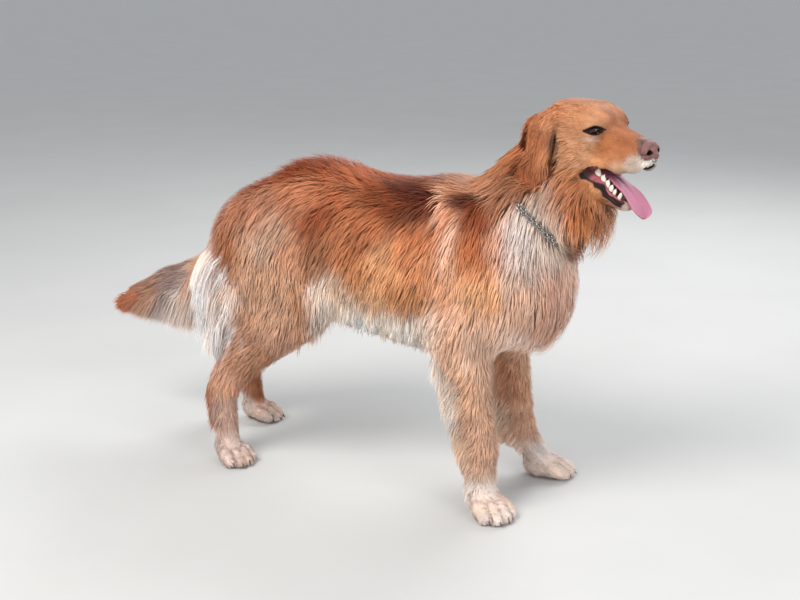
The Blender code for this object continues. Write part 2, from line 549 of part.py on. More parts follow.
def slab(ob, point, normal, gap=CUT_GAP / 2):
    """Keeps what lies behind the plane, with a flat cap."""
    n = Vector(normal).normalized()
    bm = bmesh.new()
    bm.from_mesh(ob.data)
    cut = bmesh.ops.bisect_plane(bm, geom=bm.verts[:] + bm.edges[:] + bm.faces[:], dist=1e-6,
                                 plane_co=Vector(point) - n * gap, plane_no=n, clear_outer=True)
    rim = [e for e in cut["geom_cut"] if isinstance(e, bmesh.types.BMEdge) and e.is_valid and e.is_boundary]
    bmesh.ops.triangle_fill(bm, edges=rim, use_beauty=True, use_dissolve=False, normal=n)
    bmesh.ops.recalc_face_normals(bm, faces=bm.faces)
    bmesh.ops.triangulate(bm, faces=bm.faces)
    bm.to_mesh(ob.data)
    bm.free()
    return biggest_piece(ob)

def twin(ob, name):
    return place(name, ob.data.copy())

def part(ob, point, normal, front_name):
    """Splits ob with a thin cut. The piece in front of the plane gets front_name."""
    front = twin(ob, front_name)
    slab(ob, point, normal)
    slab(front, point, tuple(-c for c in normal))
    return ob, front

def paint(ob, name, rgb, rough, metal=0.0):
    m = bpy.data.materials.new(name)
    m.use_nodes = True
    b = m.node_tree.nodes["Principled BSDF"]
    b.inputs["Base Color"].default_value = (*rgb, 1)
    b.inputs["Roughness"].default_value = rough
    b.inputs["Metallic"].default_value = metal
    ob.data.materials.clear()
    ob.data.materials.append(m)

parts = {}
def keep(name, ob, rgb, rough=0.75, metal=0.0):
    ob.name = name
    ob.data.name = name
    paint(ob, "finish_" + name, rgb, rough, metal)
    ob.data.shade_smooth()
    parts[name] = ob

RED_GOLD, GOLD, PALE, CREAM = (0.40, 0.17, 0.07), (0.52, 0.26, 0.12), (0.60, 0.38, 0.24), (0.70, 0.55, 0.44)

# ---------------------------------------------------------------- head and neck
NECK_CUT = ((0.300, 0.0, 0.515), (0.57, 0.0, 0.82))       # neck from chest
HEAD_CUT = ((0.385, -0.010, 0.640), (0.80, -0.10, 0.59))  # head from neck

def head_solid(p):
    """The coat's outside, less the space between the jaws."""
    return smax(body_coat(p), -mouth(head_local(p)), 0.003)
head = form("head", head_solid, (0.29, -0.16, 0.47), (0.58, 0.12, 0.78), 0.0034, 800)
slab(head, HEAD_CUT[0], tuple(-c for c in HEAD_CUT[1]))
neck_ob = form("neck", body_coat, (0.08, -0.18, 0.34), (0.56, 0.18, 0.80), 0.0070, 420)
slab(neck_ob, *HEAD_CUT)
slab(neck_ob, NECK_CUT[0], tuple(-c for c in NECK_CUT[1]))

def nose_field(p):
    q = head_local(p)
    m = q.copy(); m[:, 1] = np.abs(m[:, 1])
    d = ellipsoid(m, (0.0880, 0.0, -0.0200), (0.0175, 0.0185, 0.0125))
    d = smin(d, ellipsoid(m, (0.0870, 0.0115, -0.0235), (0.0150, 0.0090, 0.0105)), 0.006)
    d = smin(d, limb(m, (0.0960, 0, -0.026), (0.0930, 0, -0.0355), 0.0060, 0.0050), 0.006)
    return smax(d, -ellipsoid(m, (0.1015, 0.0105, -0.0250), (0.0065, 0.0042, 0.0036)), 0.002)

def box_round(points, r):
    P = np.array(points)
    return P.min(0) - r, P.max(0) + r

nl = head_world([(0.075, -0.02, -0.04), (0.075, 0.02, -0.04), (0.108, -0.02, -0.01), (0.108, 0.02, -0.04), (0.075, 0, -0.005)])
nose = form("nose", nose_field, *box_round(nl, 0.016), 0.0016, 200)

def eyeball(side):
    name = "eye_left" if side > 0 else "eye_right"
    me = bpy.data.meshes.new(name)
    bm = bmesh.new()
    bmesh.ops.create_uvsphere(bm, u_segments=12, v_segments=7, radius=EYE_DIAMETER / 2)
    bm.to_mesh(me)
    bm.free()
    ob = place(name, me)
    c = head_world([(EYE_C[0], side * EYE_C[1], EYE_C[2])])[0]
    co = np.array([v.co for v in me.vertices]) + c
    me.vertices.foreach_set("co", co.astype(np.float32).ravel())
    me.update()
    return ob

def almond(side):
    """The opening between the lids, from the eye outwards."""
    me = bpy.data.meshes.new("lid_opening")
    bm = bmesh.new()
    bmesh.ops.create_uvsphere(bm, u_segments=12, v_segments=7, radius=1.0)
    bm.to_mesh(me)
    bm.free()
    a = radians(EYE_OUT)
    out = np.array((cos(a), side * sin(a), 0.05))
    along = np.array((-sin(a), side * cos(a), 0.0))
    up = np.cross(out, along) * (1 if side > 0 else -1)
    c = np.array((EYE_C[0], side * EYE_C[1], EYE_C[2])) + out * 0.0135
    u = np.array([v.co for v in me.vertices])
    q = c + np.outer(u[:, 0] * 0.0080, out) + np.outer(u[:, 1] * 0.0145, along) + np.outer(u[:, 2] * 0.0066, up)
    me.vertices.foreach_set("co", head_world(q).astype(np.float32).ravel())
    me.update()
    ob = place("lid_opening", me)
    bm = bmesh.new(); bm.from_mesh(me); bmesh.ops.recalc_face_normals(bm, faces=bm.faces); bm.to_mesh(me); bm.free()
    return ob

eyes = {s: eyeball(s) for s in (-1, 1)}
for s in (-1, 1):
    opening = almond(s)
    boolean(head, opening, "DIFFERENCE")
    bpy.data.objects.remove(opening, do_unlink=True)
    carve(head, eyes[s])
carve(head, nose)

# the mouth: its roof, the lower jaw with its teeth, and the tongue
ml = head_world([(x, y, z) for x in (-0.06, 0.10) for y in (-0.03, 0.03) for z in (-0.15, -0.03)])
def jaw_solid(p):
    q = head_local(p)
    return smax(lower_jaw(q) - 0.0025, -mouth(q), 0.003)
jaw = form("lower_jaw", jaw_solid, *box_round(ml, 0.02), 0.0028, 300)
TEETH = [  # lower cheek teeth and canine: place along the jaw, from the midline, height of crown, half length
    (-0.004, 0.0240, 0.0085, 0.0062), (0.010, 0.0222, 0.0080, 0.0050), (0.021, 0.0202, 0.0068, 0.0042),
    (0.031, 0.0182, 0.0056, 0.0034), (0.039, 0.0164, 0.0045, 0.0028), (0.062, 0.0105, 0.0125, 0.0036)]
def crown(x, y, tall, half):
    me = bpy.data.meshes.new("crown")
    bm = bmesh.new()
    bmesh.ops.create_cone(bm, cap_ends=True, segments=7, radius1=1.0, radius2=0.12, depth=1.0)
    bm.to_mesh(me)
    bm.free()
    u = np.array([v.co for v in me.vertices])
    q = np.stack([x + u[:, 0] * half, y + u[:, 1] * half * 0.55, -0.0560 + (u[:, 2] + 0.5) * (tall + 0.004)], 1)
    me.vertices.foreach_set("co", head_world(jaw_head(q)).astype(np.float32).ravel())
    me.update()
    return place("crown", me)
for s in (-1, 1):
    for x, y, tall, half in TEETH:
        t = crown(x, s * y, tall, half)
        boolean(jaw, t, "UNION")
        bpy.data.objects.remove(t, do_unlink=True)
carve(jaw, head)

TONGUE = [  # along the tongue in head space: x, z, half width, half thickness
    (-0.030, -0.0830, 0.0150, 0.0070), (-0.008, -0.0800, 0.0150, 0.0065), (0.015, -0.0835, 0.0155, 0.0060), (0.036, -0.0915, 0.0165, 0.0055),
    (0.055, -0.1020, 0.0180, 0.0048), (0.071, -0.1150, 0.0190, 0.0042), (0.083, -0.1290, 0.0165, 0.0038), (0.088, -0.1370, 0.0090, 0.0032)]
def tongue_field(p):
    q = head_local(p)
    T = np.array(TONGUE)
    best = np.full(len(q), 1e3, np.float32)
    for i in range(len(T) - 1):
        a, b = T[i], T[i + 1]
        ab = b[:2] - a[:2]
        L = float(ab @ ab)
        r = q[:, [0, 2]] - a[:2].astype(np.float32)
        t = np.clip((r @ ab.astype(np.float32)) / L, 0, 1)
        away = np.linalg.norm(r - t[:, None] * ab.astype(np.float32), axis=1)
        w = a[2] + (b[2] - a[2]) * t
        h = a[3] + (b[3] - a[3]) * t
        rho = np.sqrt((q[:, 1] / w) ** 2 + (away / h) ** 2)
        d = (rho - 1) * h * 0.9
        best = np.minimum(best, d)
    return best.astype(np.float32)
tl = head_world([(x, y, z) for x in (-0.04, 0.10) for y in (-0.02, 0.02) for z in (-0.145, -0.07)])
tongue = form("tongue", tongue_field, *box_round(tl, 0.012), 0.0022, 220)
carve(tongue, jaw)
carve(tongue, head)

# ---------------------------------------------------------------- ears
ear = {}
for s in (-1, 1):
    el = head_world([(x, s * y, z) for x in (-0.14, -0.05) for y in (0.04, 0.09) for z in (-0.11, 0.04)])
    ear[s] = form("ear", lambda p, s=s: ear_coat(p, s), *box_round(el, 0.012), 0.0030, 200)
    carve(ear[s], head)
    carve(ear[s], neck_ob)

# ---------------------------------------------------------------- collar: a chain that lies sunk in the coat
COLLAR_AT, COLLAR_NORMAL = (0.352, -0.006, 0.545), (0.70, 0.02, 0.71)
def collar_line(count, sink):
    """Points of the coat's outline in the collar's plane, drawn inwards by sink."""
    n = np.array(COLLAR_NORMAL); n = n / np.linalg.norm(n)
    side = np.array((0, 1.0, 0)); side -= n * (side @ n); side /= np.linalg.norm(side)
    upd = np.cross(n, side)
    c = np.array(COLLAR_AT)
    out = []
    for i in range(count):
        a = 2 * pi * i / count
        d = side * cos(a) + upd * sin(a)
        r = np.linspace(0.03, 0.16, 131)
        f = body_coat((c + np.outer(r, d)).astype(np.float32))
        k = int(np.argmax(f > -sink))
        out.append(c + d * r[k])
    P = np.array(out)
    for _ in range(3):
        P = (np.roll(P, 1, 0) + 2 * P + np.roll(P, -1, 0)) / 4
    return P
def ring(P, thick, waist, sides=6):
    """A closed tube along P, swelling at every other section as links do."""
    n = len(P)
    c = P.mean(0)
    verts, faces = [], []
    for i in range(n):
        t = P[(i + 1) % n] - P[i - 1]; t /= np.linalg.norm(t)
        o = P[i] - c; o -= t * (o @ t); o /= np.linalg.norm(o)
        b = np.cross(t, o)
        r = thick / 2 * (1.0 if i % 2 else waist)
        for k in range(sides):
            a = 2 * pi * k / sides
            verts.append(P[i] + r * (cos(a) * o * 0.8 + sin(a) * b))
    for i in range(n):
        for k in range(sides):
            j, m = (i + 1) % n, (k + 1) % sides
            faces.append((i * sides + k, j * sides + k, j * sides + m, i * sides + m))
    ob = from_points("collar", verts, faces)
    bm = bmesh.new(); bm.from_mesh(ob.data); bmesh.ops.recalc_face_normals(bm, faces=bm.faces); bmesh.ops.triangulate(bm, faces=bm.faces); bm.to_mesh(ob.data); bm.free()
    return ob
collar = ring(collar_line(30, -0.0004), COLLAR_THICK * 1.7, 0.72, 5)
carve(neck_ob, collar)
carve(collar, ear[-1]); carve(collar, ear[1])

# ---------------------------------------------------------------- trunk
LEG_CUT_Z = 0.262
trunk_ob = form("trunk", body_coat, (-0.42, -0.20, 0.22), (0.47, 0.20, 0.70), 0.0080, 1050)
slab(trunk_ob, *NECK_CUT)
slab(trunk_ob, (0, 0, LEG_CUT_Z), (0, 0, -1))
rump, fore = part(trunk_ob, (-0.090, 0, 0.4), (1, 0, 0), "fore")
barrel, chest = part(fore, (0.115, 0, 0.4), (1, 0, 0), "chest")
chest, shoulder_left = part(chest, (0.2, 0.050, 0.290), (-0.02, 1.0, -0.16), "shoulder_left")
chest, shoulder_right = part(chest, (0.2, -0.050, 0.290), (-0.02, -1.0, -0.16), "shoulder_right")
rump, thigh_left = part(rump, (-0.2, 0.030, 0.300), (0, 1.0, -0.20), "thigh_left")
rump, thigh_right = part(rump, (-0.2, -0.030, 0.300), (0, -1.0, -0.20), "thigh_right")

# ---------------------------------------------------------------- legs below the body, and paws with claws
def claw(c, yaw, side_turn):
    """A short blunt claw pointing forwards and down."""
    me = bpy.data.meshes.new("claw")
    bm = bmesh.new()
    bmesh.ops.create_cone(bm, cap_ends=True, segments=5, radius1=0.0026, radius2=0.0010, depth=CLAW_LENGTH)
    bm.to_mesh(me)
    bm.free()
    a = radians(yaw + side_turn)
    d = np.array((cos(a) * 0.86, sin(a) * 0.86, -0.50)); d /= np.linalg.norm(d)
    s1 = np.array((-sin(a), cos(a), 0)); s2 = np.cross(d, s1)
    u = np.array([v.co for v in me.vertices])
    me.vertices.foreach_set("co", (c + np.outer(u[:, 0], s1) + np.outer(u[:, 1], s2) + np.outer(u[:, 2], d)).astype(np.float32).ravel())
    me.update()
    return place("claw", me)

for name, J in LEGS.items():
    front = name.startswith("fore")
    side = "left" if name.endswith("left") else "right"
    ft, mid = np.array(J["foot"]), np.array(J["wrist"] if front else J["hock"])
    y0, y1 = (0.02, 0.19) if side == "left" else (-0.19, -0.02)
    leg = form(name, body_coat, (min(ft[0], mid[0]) - 0.115, y0, -0.02), (max(ft[0], mid[0]) + 0.125 + (0 if front else 0.06), y1, 0.30), 0.0045, 380)
    slab(leg, (0, 0, LEG_CUT_Z), (0, 0, 1))
    slab(leg, (0, 0, SOLE_LEVEL), (0, 0, -1), 0.0)
    upper, paw_ob = part(leg, tuple(mid + (0, 0, -0.040)), (0.10, 0, -1.0), "paw")
    R = turn(J["turn"]); s = 1.08 if front else 0.98
    k = ft + R @ np.array((0.012 if front else 0.010, 0, 0))
    for ty, tx, ang in ((-0.0215, 0.012, -10), (-0.0078, 0.024, -3), (0.0078, 0.024, 3), (0.0215, 0.012, 10)):
        tip = np.array((k[0], k[1], 0)) + R @ np.array(((tx + 0.0295) * s, ty * s * 1.05, 0.0105))
        c = claw(tip, J["turn"], ang)
        boolean(paw_ob, c, "UNION")
        bpy.data.objects.remove(c, do_unlink=True)
    keep(("foreleg_" if front else "shank_") + side, upper, GOLD)
    keep(("forepaw_" if front else "hindpaw_") + side, paw_ob, CREAM)

# ---------------------------------------------------------------- tail
tail_ob = form("tail", tail_coat, (-0.68, -0.09, 0.16), (-0.24, 0.09, 0.52), 0.0060, 320)
for other in (rump, thigh_left, thigh_right):
    carve(tail_ob, other)

# ---------------------------------------------------------------- names, finishes and the part's own origin
keep("head", head, GOLD)
keep("lower_jaw", jaw, PALE)
keep("tongue", tongue, (0.55, 0.25, 0.33), 0.35)
keep("nose", nose, (0.24, 0.11, 0.10), 0.45)
keep("eye_left", eyes[1], (0.030, 0.014, 0.008), 0.08)
keep("eye_right", eyes[-1], (0.030, 0.014, 0.008), 0.08)
keep("ear_left", ear[1], RED_GOLD)
keep("ear_right", ear[-1], RED_GOLD)
keep("neck", neck_ob, PALE)
keep("collar", collar, (0.55, 0.53, 0.50), 0.28, 1.0)
keep("chest", chest, CREAM)
keep("shoulder_left", shoulder_left, GOLD)
keep("shoulder_right", shoulder_right, GOLD)
keep("barrel", barrel, GOLD)
keep("croup", rump, RED_GOLD)
keep("thigh_left", thigh_left, GOLD)
keep("thigh_right", thigh_right, GOLD)
keep("tail", tail_ob, PALE)

for ob in parts.values():
    co = np.zeros(len(ob.data.vertices) * 3, np.float32)
    ob.data.vertices.foreach_get("co", co)
    co = co.reshape(-1, 3) - np.array((MIDDLE[0], MIDDLE[1], 0.0), np.float32)
    ob.data.vertices.foreach_set("co", co.ravel())
    ob.data.update()
for ob in list(bpy.data.objects):
    if ob.name not in parts:
        bpy.data.objects.remove(ob, do_unlink=True)
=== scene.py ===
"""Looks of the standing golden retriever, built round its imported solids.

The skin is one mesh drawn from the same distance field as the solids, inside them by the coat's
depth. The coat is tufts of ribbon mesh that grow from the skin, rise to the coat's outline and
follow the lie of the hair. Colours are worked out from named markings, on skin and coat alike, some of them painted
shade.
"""
import bpy
import numpy as np
from math import radians, sin, cos, pi
from mathutils import Vector, Matrix, kdtree


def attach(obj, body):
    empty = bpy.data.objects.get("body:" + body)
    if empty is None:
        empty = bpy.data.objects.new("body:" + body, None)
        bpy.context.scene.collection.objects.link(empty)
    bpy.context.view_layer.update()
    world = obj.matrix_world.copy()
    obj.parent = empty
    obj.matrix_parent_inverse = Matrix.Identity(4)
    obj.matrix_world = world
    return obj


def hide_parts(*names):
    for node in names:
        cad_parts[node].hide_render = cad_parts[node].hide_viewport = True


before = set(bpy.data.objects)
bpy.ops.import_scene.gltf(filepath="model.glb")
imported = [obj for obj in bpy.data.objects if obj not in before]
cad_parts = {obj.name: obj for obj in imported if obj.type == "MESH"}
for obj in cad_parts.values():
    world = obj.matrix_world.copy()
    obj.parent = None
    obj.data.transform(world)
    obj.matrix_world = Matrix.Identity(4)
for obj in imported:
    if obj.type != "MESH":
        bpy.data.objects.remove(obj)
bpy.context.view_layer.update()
MIDDLE = (-0.0376, -0.0007)     # middle of the outline in the posing frame, as in the solids
SHIFT = np.array((-MIDDLE[0], -MIDDLE[1], 0.0), np.float32)
rng = np.random.default_rng(20)


# ---------------------------------------------------------------- field tools
def v3(*a):
    return np.array(a, np.float32)

def smin(a, b, k):
    h = np.maximum(k - np.abs(a - b), 0.0) / k
    return np.minimum(a, b) - h * h * k * 0.25

def smax(a, b, k):
    return -smin(-a, -b, k)

def ellipsoid(p, c, r, rot=None):
    q = p - v3(*c)
    if rot is not None:
        q = q @ rot
    r = v3(*r)
    k0 = np.linalg.norm(q / r, axis=1)
    k1 = np.linalg.norm(q / (r * r), axis=1)
    return k0 * (k0 - 1.0) / np.maximum(k1, 1e-6)

def limb(p, a, b, ra, rb, flat=1.0, ax=(0, 1, 0)):
    """Tapered capsule from a to b. flat scales its thickness along ax (under 1 is thinner)."""
    a = v3(*a); b = v3(*b)
    ab = b - a
    t = np.clip(((p - a) @ ab) / float(ab @ ab), 0, 1)
    q = p - (a + t[:, None] * ab)
    if flat != 1.0:
        ax = v3(*ax)
        along = q @ ax
        q = q + np.outer(along * (1.0 / flat - 1.0), ax)
    return (np.linalg.norm(q, axis=1) - (ra + (rb - ra) * t)) * (1.0 if flat == 1.0 else (0.5 + 0.5 * flat))

def chain(p, pts, rads, k=0.01, flat=1.0, ax=(0, 1, 0)):
    d = None
    for i in range(len(pts) - 1):
        e = limb(p, pts[i], pts[i + 1], rads[i], rads[i + 1], flat, ax)
        d = e if d is None else smin(d, e, k)
    return d

def tube(p, pts, rads, flat=1.0, k=0.004):
    """Tapered capsules end to end, with no swelling where they join."""
    d = None
    for i in range(len(pts) - 1):
        e = limb(p, pts[i], pts[i + 1], rads[i], rads[i + 1], flat)
        d = e if d is None else smin(d, e, k)
    return d

def pchip(xs, ys, x):
    """Monotone cubic through named stations."""
    xs = np.asarray(xs, float); ys = np.asarray(ys, float)
    h = np.diff(xs); m = np.diff(ys) / h
    d = np.zeros_like(ys)
    for i in range(1, len(xs) - 1):
        if m[i - 1] * m[i] > 0:
            w1 = 2 * h[i] + h[i - 1]; w2 = h[i] + 2 * h[i - 1]
            d[i] = (w1 + w2) / (w1 / m[i - 1] + w2 / m[i])
    d[0], d[-1] = m[0], m[-1]
    x = np.clip(x, xs[0], xs[-1])
    i = np.clip(np.searchsorted(xs, x) - 1, 0, len(xs) - 2)
    t = (x - xs[i]) / h[i]
    t2, t3 = t * t, t * t * t
    return ((2 * t3 - 3 * t2 + 1) * ys[i] + (t3 - 2 * t2 + t) * h[i] * d[i]
            + (-2 * t3 + 3 * t2) * ys[i + 1] + (t3 - t2) * h[i] * d[i + 1])

def loft(p, stations, n=2.2, egg=0.0, axis=0, up=2, side=1):
    """Body of sections across one axis. A station is (place, low, high, half width)."""
    s = np.array(sorted(stations), float)
    grid = np.linspace(s[0, 0], s[-1, 0], 256)
    lo_t, hi_t, w_t = (pchip(s[:, 0], s[:, i], grid) for i in (1, 2, 3))
    x = p[:, axis]
    xc = np.clip(x, s[0, 0], s[-1, 0])
    lo, hi, w = (np.interp(xc, grid, t).astype(np.float32) for t in (lo_t, hi_t, w_t))
    mid, half = (lo + hi) / 2, (hi - lo) / 2
    z = (p[:, up] - mid)
    if egg:
        w = w * (1 + egg * np.clip(z / half, -1, 1))
    y = p[:, side]
    q = np.sqrt(y * y + z * z) + 1e-9
    rho = (np.abs(y / w) ** n + np.abs(z / half) ** n) ** (1.0 / n) + 1e-9
    d = np.where(rho > 1e-3, q - q / rho, -np.minimum(w, half))
    dx = np.abs(x - xc)
    return np.where(dx > 0, np.sqrt(np.maximum(d, 0) ** 2 + dx * dx) + np.minimum(d, 0), d).astype(np.float32)

def turn(yaw=0, pitch=0, roll=0):
    """Matrix whose columns are the turned x, y and z axes. Pitch up is positive."""
    y, q, r = radians(yaw), radians(pitch), radians(roll)
    Rz = np.array([[cos(y), -sin(y), 0], [sin(y), cos(y), 0], [0, 0, 1]])
    Ry = np.array([[cos(q), 0, -sin(q)], [0, 1, 0], [sin(q), 0, cos(q)]])
    Rx = np.array([[1, 0, 0], [0, cos(r), -sin(r)], [0, sin(r), cos(r)]])
    return (Rz @ Ry @ Rx).astype(np.float32)

# ---------------------------------------------------------------- the pose
HEAD_O = v3(0.4500, -0.022, 0.7037)
HEAD_R = turn(-23.0, -2.7, 0.4)
def head_local(p):
    return (p - HEAD_O) @ HEAD_R
def head_world(q):
    return np.asarray(q, np.float32) @ HEAD_R.T + HEAD_O
JAW_PIVOT = v3(-0.062, 0.0, -0.038)      # in head space
JAW_OPEN = 27.0
JAW_R = turn(0, -JAW_OPEN, 0)
def jaw_local(q):
    """Head space to jaw space, where the jaw is shut."""
    return (q - JAW_PIVOT) @ JAW_R + JAW_PIVOT
def jaw_head(q):
    return (np.asarray(q, np.float32) - JAW_PIVOT) @ JAW_R.T + JAW_PIVOT

LEGS = {  # joints of each leg, in the row frame: shoulder or hip, elbow or stifle, wrist or hock, knuckles, toes
    "foreleg_right": dict(top=(0.285, -0.076, 0.415), elbow=(0.218, -0.088, 0.325), mid=(0.254, -0.094, 0.215), wrist=(0.266, -0.097, 0.118), foot=(0.270, -0.099, 0.043), turn=-34),
    "foreleg_left": dict(top=(0.290, 0.076, 0.415), elbow=(0.228, 0.088, 0.325), mid=(0.256, 0.094, 0.210), wrist=(0.264, 0.097, 0.100), foot=(0.302, 0.101, 0.036), turn=28),
    "hindleg_right": dict(hip=(-0.222, -0.060, 0.460), stifle=(-0.118, -0.092, 0.348), hock=(-0.290, -0.102, 0.150), foot=(-0.283, -0.107, 0.040), turn=-24),
    "hindleg_left": dict(hip=(-0.228, 0.060, 0.460), stifle=(-0.140, 0.092, 0.345), hock=(-0.372, 0.102, 0.148), foot=(-0.362, 0.107, 0.040), turn=8),
}

# ---------------------------------------------------------------- skin: trunk, neck, legs
TRUNK = [  # place along the body, belly line, back line, half width
    (-0.330, 0.412, 0.436, 0.016), (-0.310, 0.392, 0.470, 0.042), (-0.268, 0.384, 0.518, 0.072),
    (-0.200, 0.372, 0.556, 0.088), (-0.130, 0.352, 0.569, 0.092), (-0.050, 0.322, 0.571, 0.101),
    (0.050, 0.298, 0.571, 0.106), (0.140, 0.286, 0.574, 0.099), (0.220, 0.294, 0.560, 0.088), (0.270, 0.330, 0.520, 0.060)]

def trunk(p):
    d = loft(p, TRUNK, n=2.25, egg=0.10)
    d = smin(d, ellipsoid(p, (0.250, 0, 0.420), (0.088, 0.084, 0.112)), 0.05)          # forechest
    for s in (-1, 1):
        d = smin(d, limb(p, (0.160, s * 0.040, 0.528), (0.285, s * 0.068, 0.415), 0.030, 0.048, 0.7), 0.05)
    return d

def neck(p):
    d = limb(p, (0.236, 0.000, 0.466), (0.326, -0.004, 0.586), 0.090, 0.058, 0.90)
    d = smin(d, limb(p, (0.326, -0.004, 0.586), (0.384, -0.008, 0.662), 0.058, 0.045, 0.94), 0.03)
    d = smin(d, limb(p, (0.350, -0.004, 0.570), (0.428, -0.018, 0.606), 0.048, 0.034), 0.03)
    return d

def paw(p, centre, yaw, front=True):
    """A paw standing on the floor: pad, four toes. centre is under the knuckles."""
    R = turn(yaw)
    q = (p - v3(centre[0], centre[1], 0)) @ R
    s = 1.08 if front else 0.98
    d = ellipsoid(q, (-0.006 * s, 0, 0.022), (0.030 * s, 0.027 * s, 0.020 * s))
    for i, (ty, tx, ang) in enumerate(((-0.0215, 0.012, -10), (-0.0078, 0.024, -3), (0.0078, 0.024, 3), (0.0215, 0.012, 10))):
        a = radians(ang)
        b = (tx * s, ty * s, 0.0195)
        e = ((tx + 0.020 * cos(a)) * s, (ty + 0.020 * sin(a)) * s, 0.0115)
        t = limb(q, (tx * s - 0.02, ty * s * 0.7, 0.024), b, 0.011 * s, 0.0120 * s)
        t = smin(t, limb(q, b, e, 0.0120 * s, 0.0100 * s), 0.008)
        d = smin(d, t, 0.005)
    return d

def foreleg(p, J):
    top, el, mid, wr, ft = (np.array(J[k]) for k in ("top", "elbow", "mid", "wrist", "foot"))
    d = limb(p, top, el, 0.054, 0.042, 0.72)
    d = smin(d, tube(p, [el, el * 0.4 + mid * 0.6, mid * 0.4 + wr * 0.6, wr], [0.039, 0.0285, 0.0235, 0.0235], 0.90), 0.016)
    d = smin(d, ellipsoid(p, el + (-0.020, 0, 0.008), (0.020, 0.018, 0.026)), 0.02)
    d = smin(d, ellipsoid(p, wr + (0.004, 0, 0.002), (0.0235, 0.0235, 0.026)), 0.008)
    d = smin(d, limb(p, wr, ft, 0.0215, 0.0235, 0.95), 0.006)
    R = turn(J["turn"])
    d = smin(d, paw(p, ft + R @ np.array((0.012, 0, 0)), J["turn"]), 0.012)
    return smin(d, ellipsoid(p, wr + R @ np.array((-0.023, 0, -0.022)), (0.009, 0.010, 0.011)), 0.010)

def hindleg(p, J):
    hip, st, hk, ft = (np.array(J[k]) for k in ("hip", "stifle", "hock", "foot"))
    low = st * 0.35 + hk * 0.65
    d = limb(p, hip, st, 0.078, 0.048, 0.66)
    d = smin(d, ellipsoid(p, (hip + st) / 2 + (-0.050, 0.0, -0.03), (0.076, 0.040, 0.088)), 0.035)
    d = smin(d, limb(p, hip + (-0.046, 0, -0.020), (hip * 0.3 + hk * 0.7) + (0.01, 0, 0.03), 0.042, 0.028, 0.8), 0.03)
    d = smin(d, tube(p, [st, low, hk], [0.046, 0.027, 0.020], 0.80), 0.02)
    heel = hk + (-0.018, 0, 0.006)
    d = smin(d, limb(p, heel + (0.030, 0, 0.075), heel, 0.009, 0.013, 0.8), 0.022)
    d = smin(d, ellipsoid(p, hk, (0.0235, 0.0185, 0.025)), 0.008)
    d = smin(d, limb(p, hk, ft, 0.0185, 0.0195, 0.88), 0.008)
    R = turn(J["turn"])
    return smin(d, paw(p, ft + R @ np.array((0.010, 0, 0)), J["turn"], False), 0.012)

TAIL = dict(pts=[(-0.298, 0, 0.458), (-0.335, 0.001, 0.412), (-0.372, 0.003, 0.374), (-0.430, 0.004, 0.344), (-0.505, 0.006, 0.315), (-0.590, 0.006, 0.279)],
            rad=[0.027, 0.023, 0.019, 0.0155, 0.012, 0.007])
def tail(p):
    return chain(p, TAIL["pts"], TAIL["rad"], 0.015)

# ---------------------------------------------------------------- head, in its own space: x to the nose, y left, z up
EYE_C = (-0.0045, 0.0325, 0.0005); EYE_R = 0.0112; EYE_OUT = 40.0

def skull(q):
    m = q.copy(); m[:, 1] = np.abs(m[:, 1])     # both sides alike
    d = ellipsoid(m, (-0.058, 0, -0.005), (0.064, 0.053, 0.0415))
    d = smin(d, ellipsoid(m, (-0.022, 0.0155, 0.008), (0.030, 0.025, 0.0270)), 0.022)        # brow
    d = smin(d, ellipsoid(m, (-0.090, 0, -0.008), (0.029, 0.036, 0.030)), 0.02)              # occiput
    d = smin(d, limb(m, (0.000, 0.033, -0.020), (-0.078, 0.045, -0.018), 0.011, 0.013), 0.022)  # cheekbone
    d = smin(d, ellipsoid(m, (-0.062, 0.035, -0.042), (0.038, 0.020, 0.036)), 0.024)         # jaw muscle
    mz = loft(m, [(-0.030, -0.058, 0.016, 0.040), (0.000, -0.057, 0.0160, 0.0360), (0.020, -0.056, 0.0100, 0.0330), (0.040, -0.055, 0.0030, 0.0300),
                  (0.060, -0.054, -0.0010, 0.0275), (0.080, -0.051, -0.0045, 0.0240), (0.091, -0.047, -0.009, 0.0185), (0.098, -0.041, -0.016, 0.010)], n=2.5, egg=-0.12)
    d = smin(d, mz, 0.016)
    # lips of the upper jaw
    d = smin(d, chain(m, [(-0.034, 0.0345, -0.048), (-0.010, 0.0335, -0.050), (0.020, 0.0300, -0.0515), (0.050, 0.0255, -0.052), (0.074, 0.0185, -0.0480), (0.088, 0.0075, -0.0430)],
                      [0.0095, 0.0095, 0.0095, 0.0100, 0.0095, 0.0085], 0.006), 0.012)
    d = smin(d, ellipsoid(m, (-0.012, 0.0265, -0.034), (0.040, 0.0125, 0.024)), 0.016)
    # cheeks that close the mouth behind its corners
    d = smin(d, chain(m, [(-0.036, 0.0325, -0.046), (-0.028, 0.0320, -0.070), (-0.032, 0.0290, -0.094)], [0.0125, 0.0125, 0.0120], 0.006), 0.016)
    d = smin(d, limb(m, (-0.060, 0.020, -0.070), (-0.046, 0.016, -0.100), 0.026, 0.020), 0.02)
    # hollows before the eyes and the furrow of the brow
    d = smax(d, -ellipsoid(m, (0.030, 0.040, -0.006), (0.026, 0.010, 0.012)), 0.014)
    d = smax(d, -limb(m, (-0.030, 0, 0.0500), (0.008, 0, 0.041), 0.006, 0.006), 0.016)
    # lids round the eye
    d = smin(d, ellipsoid(m, EYE_C, (0.0140, 0.0140, 0.0132)), 0.007)
    return d

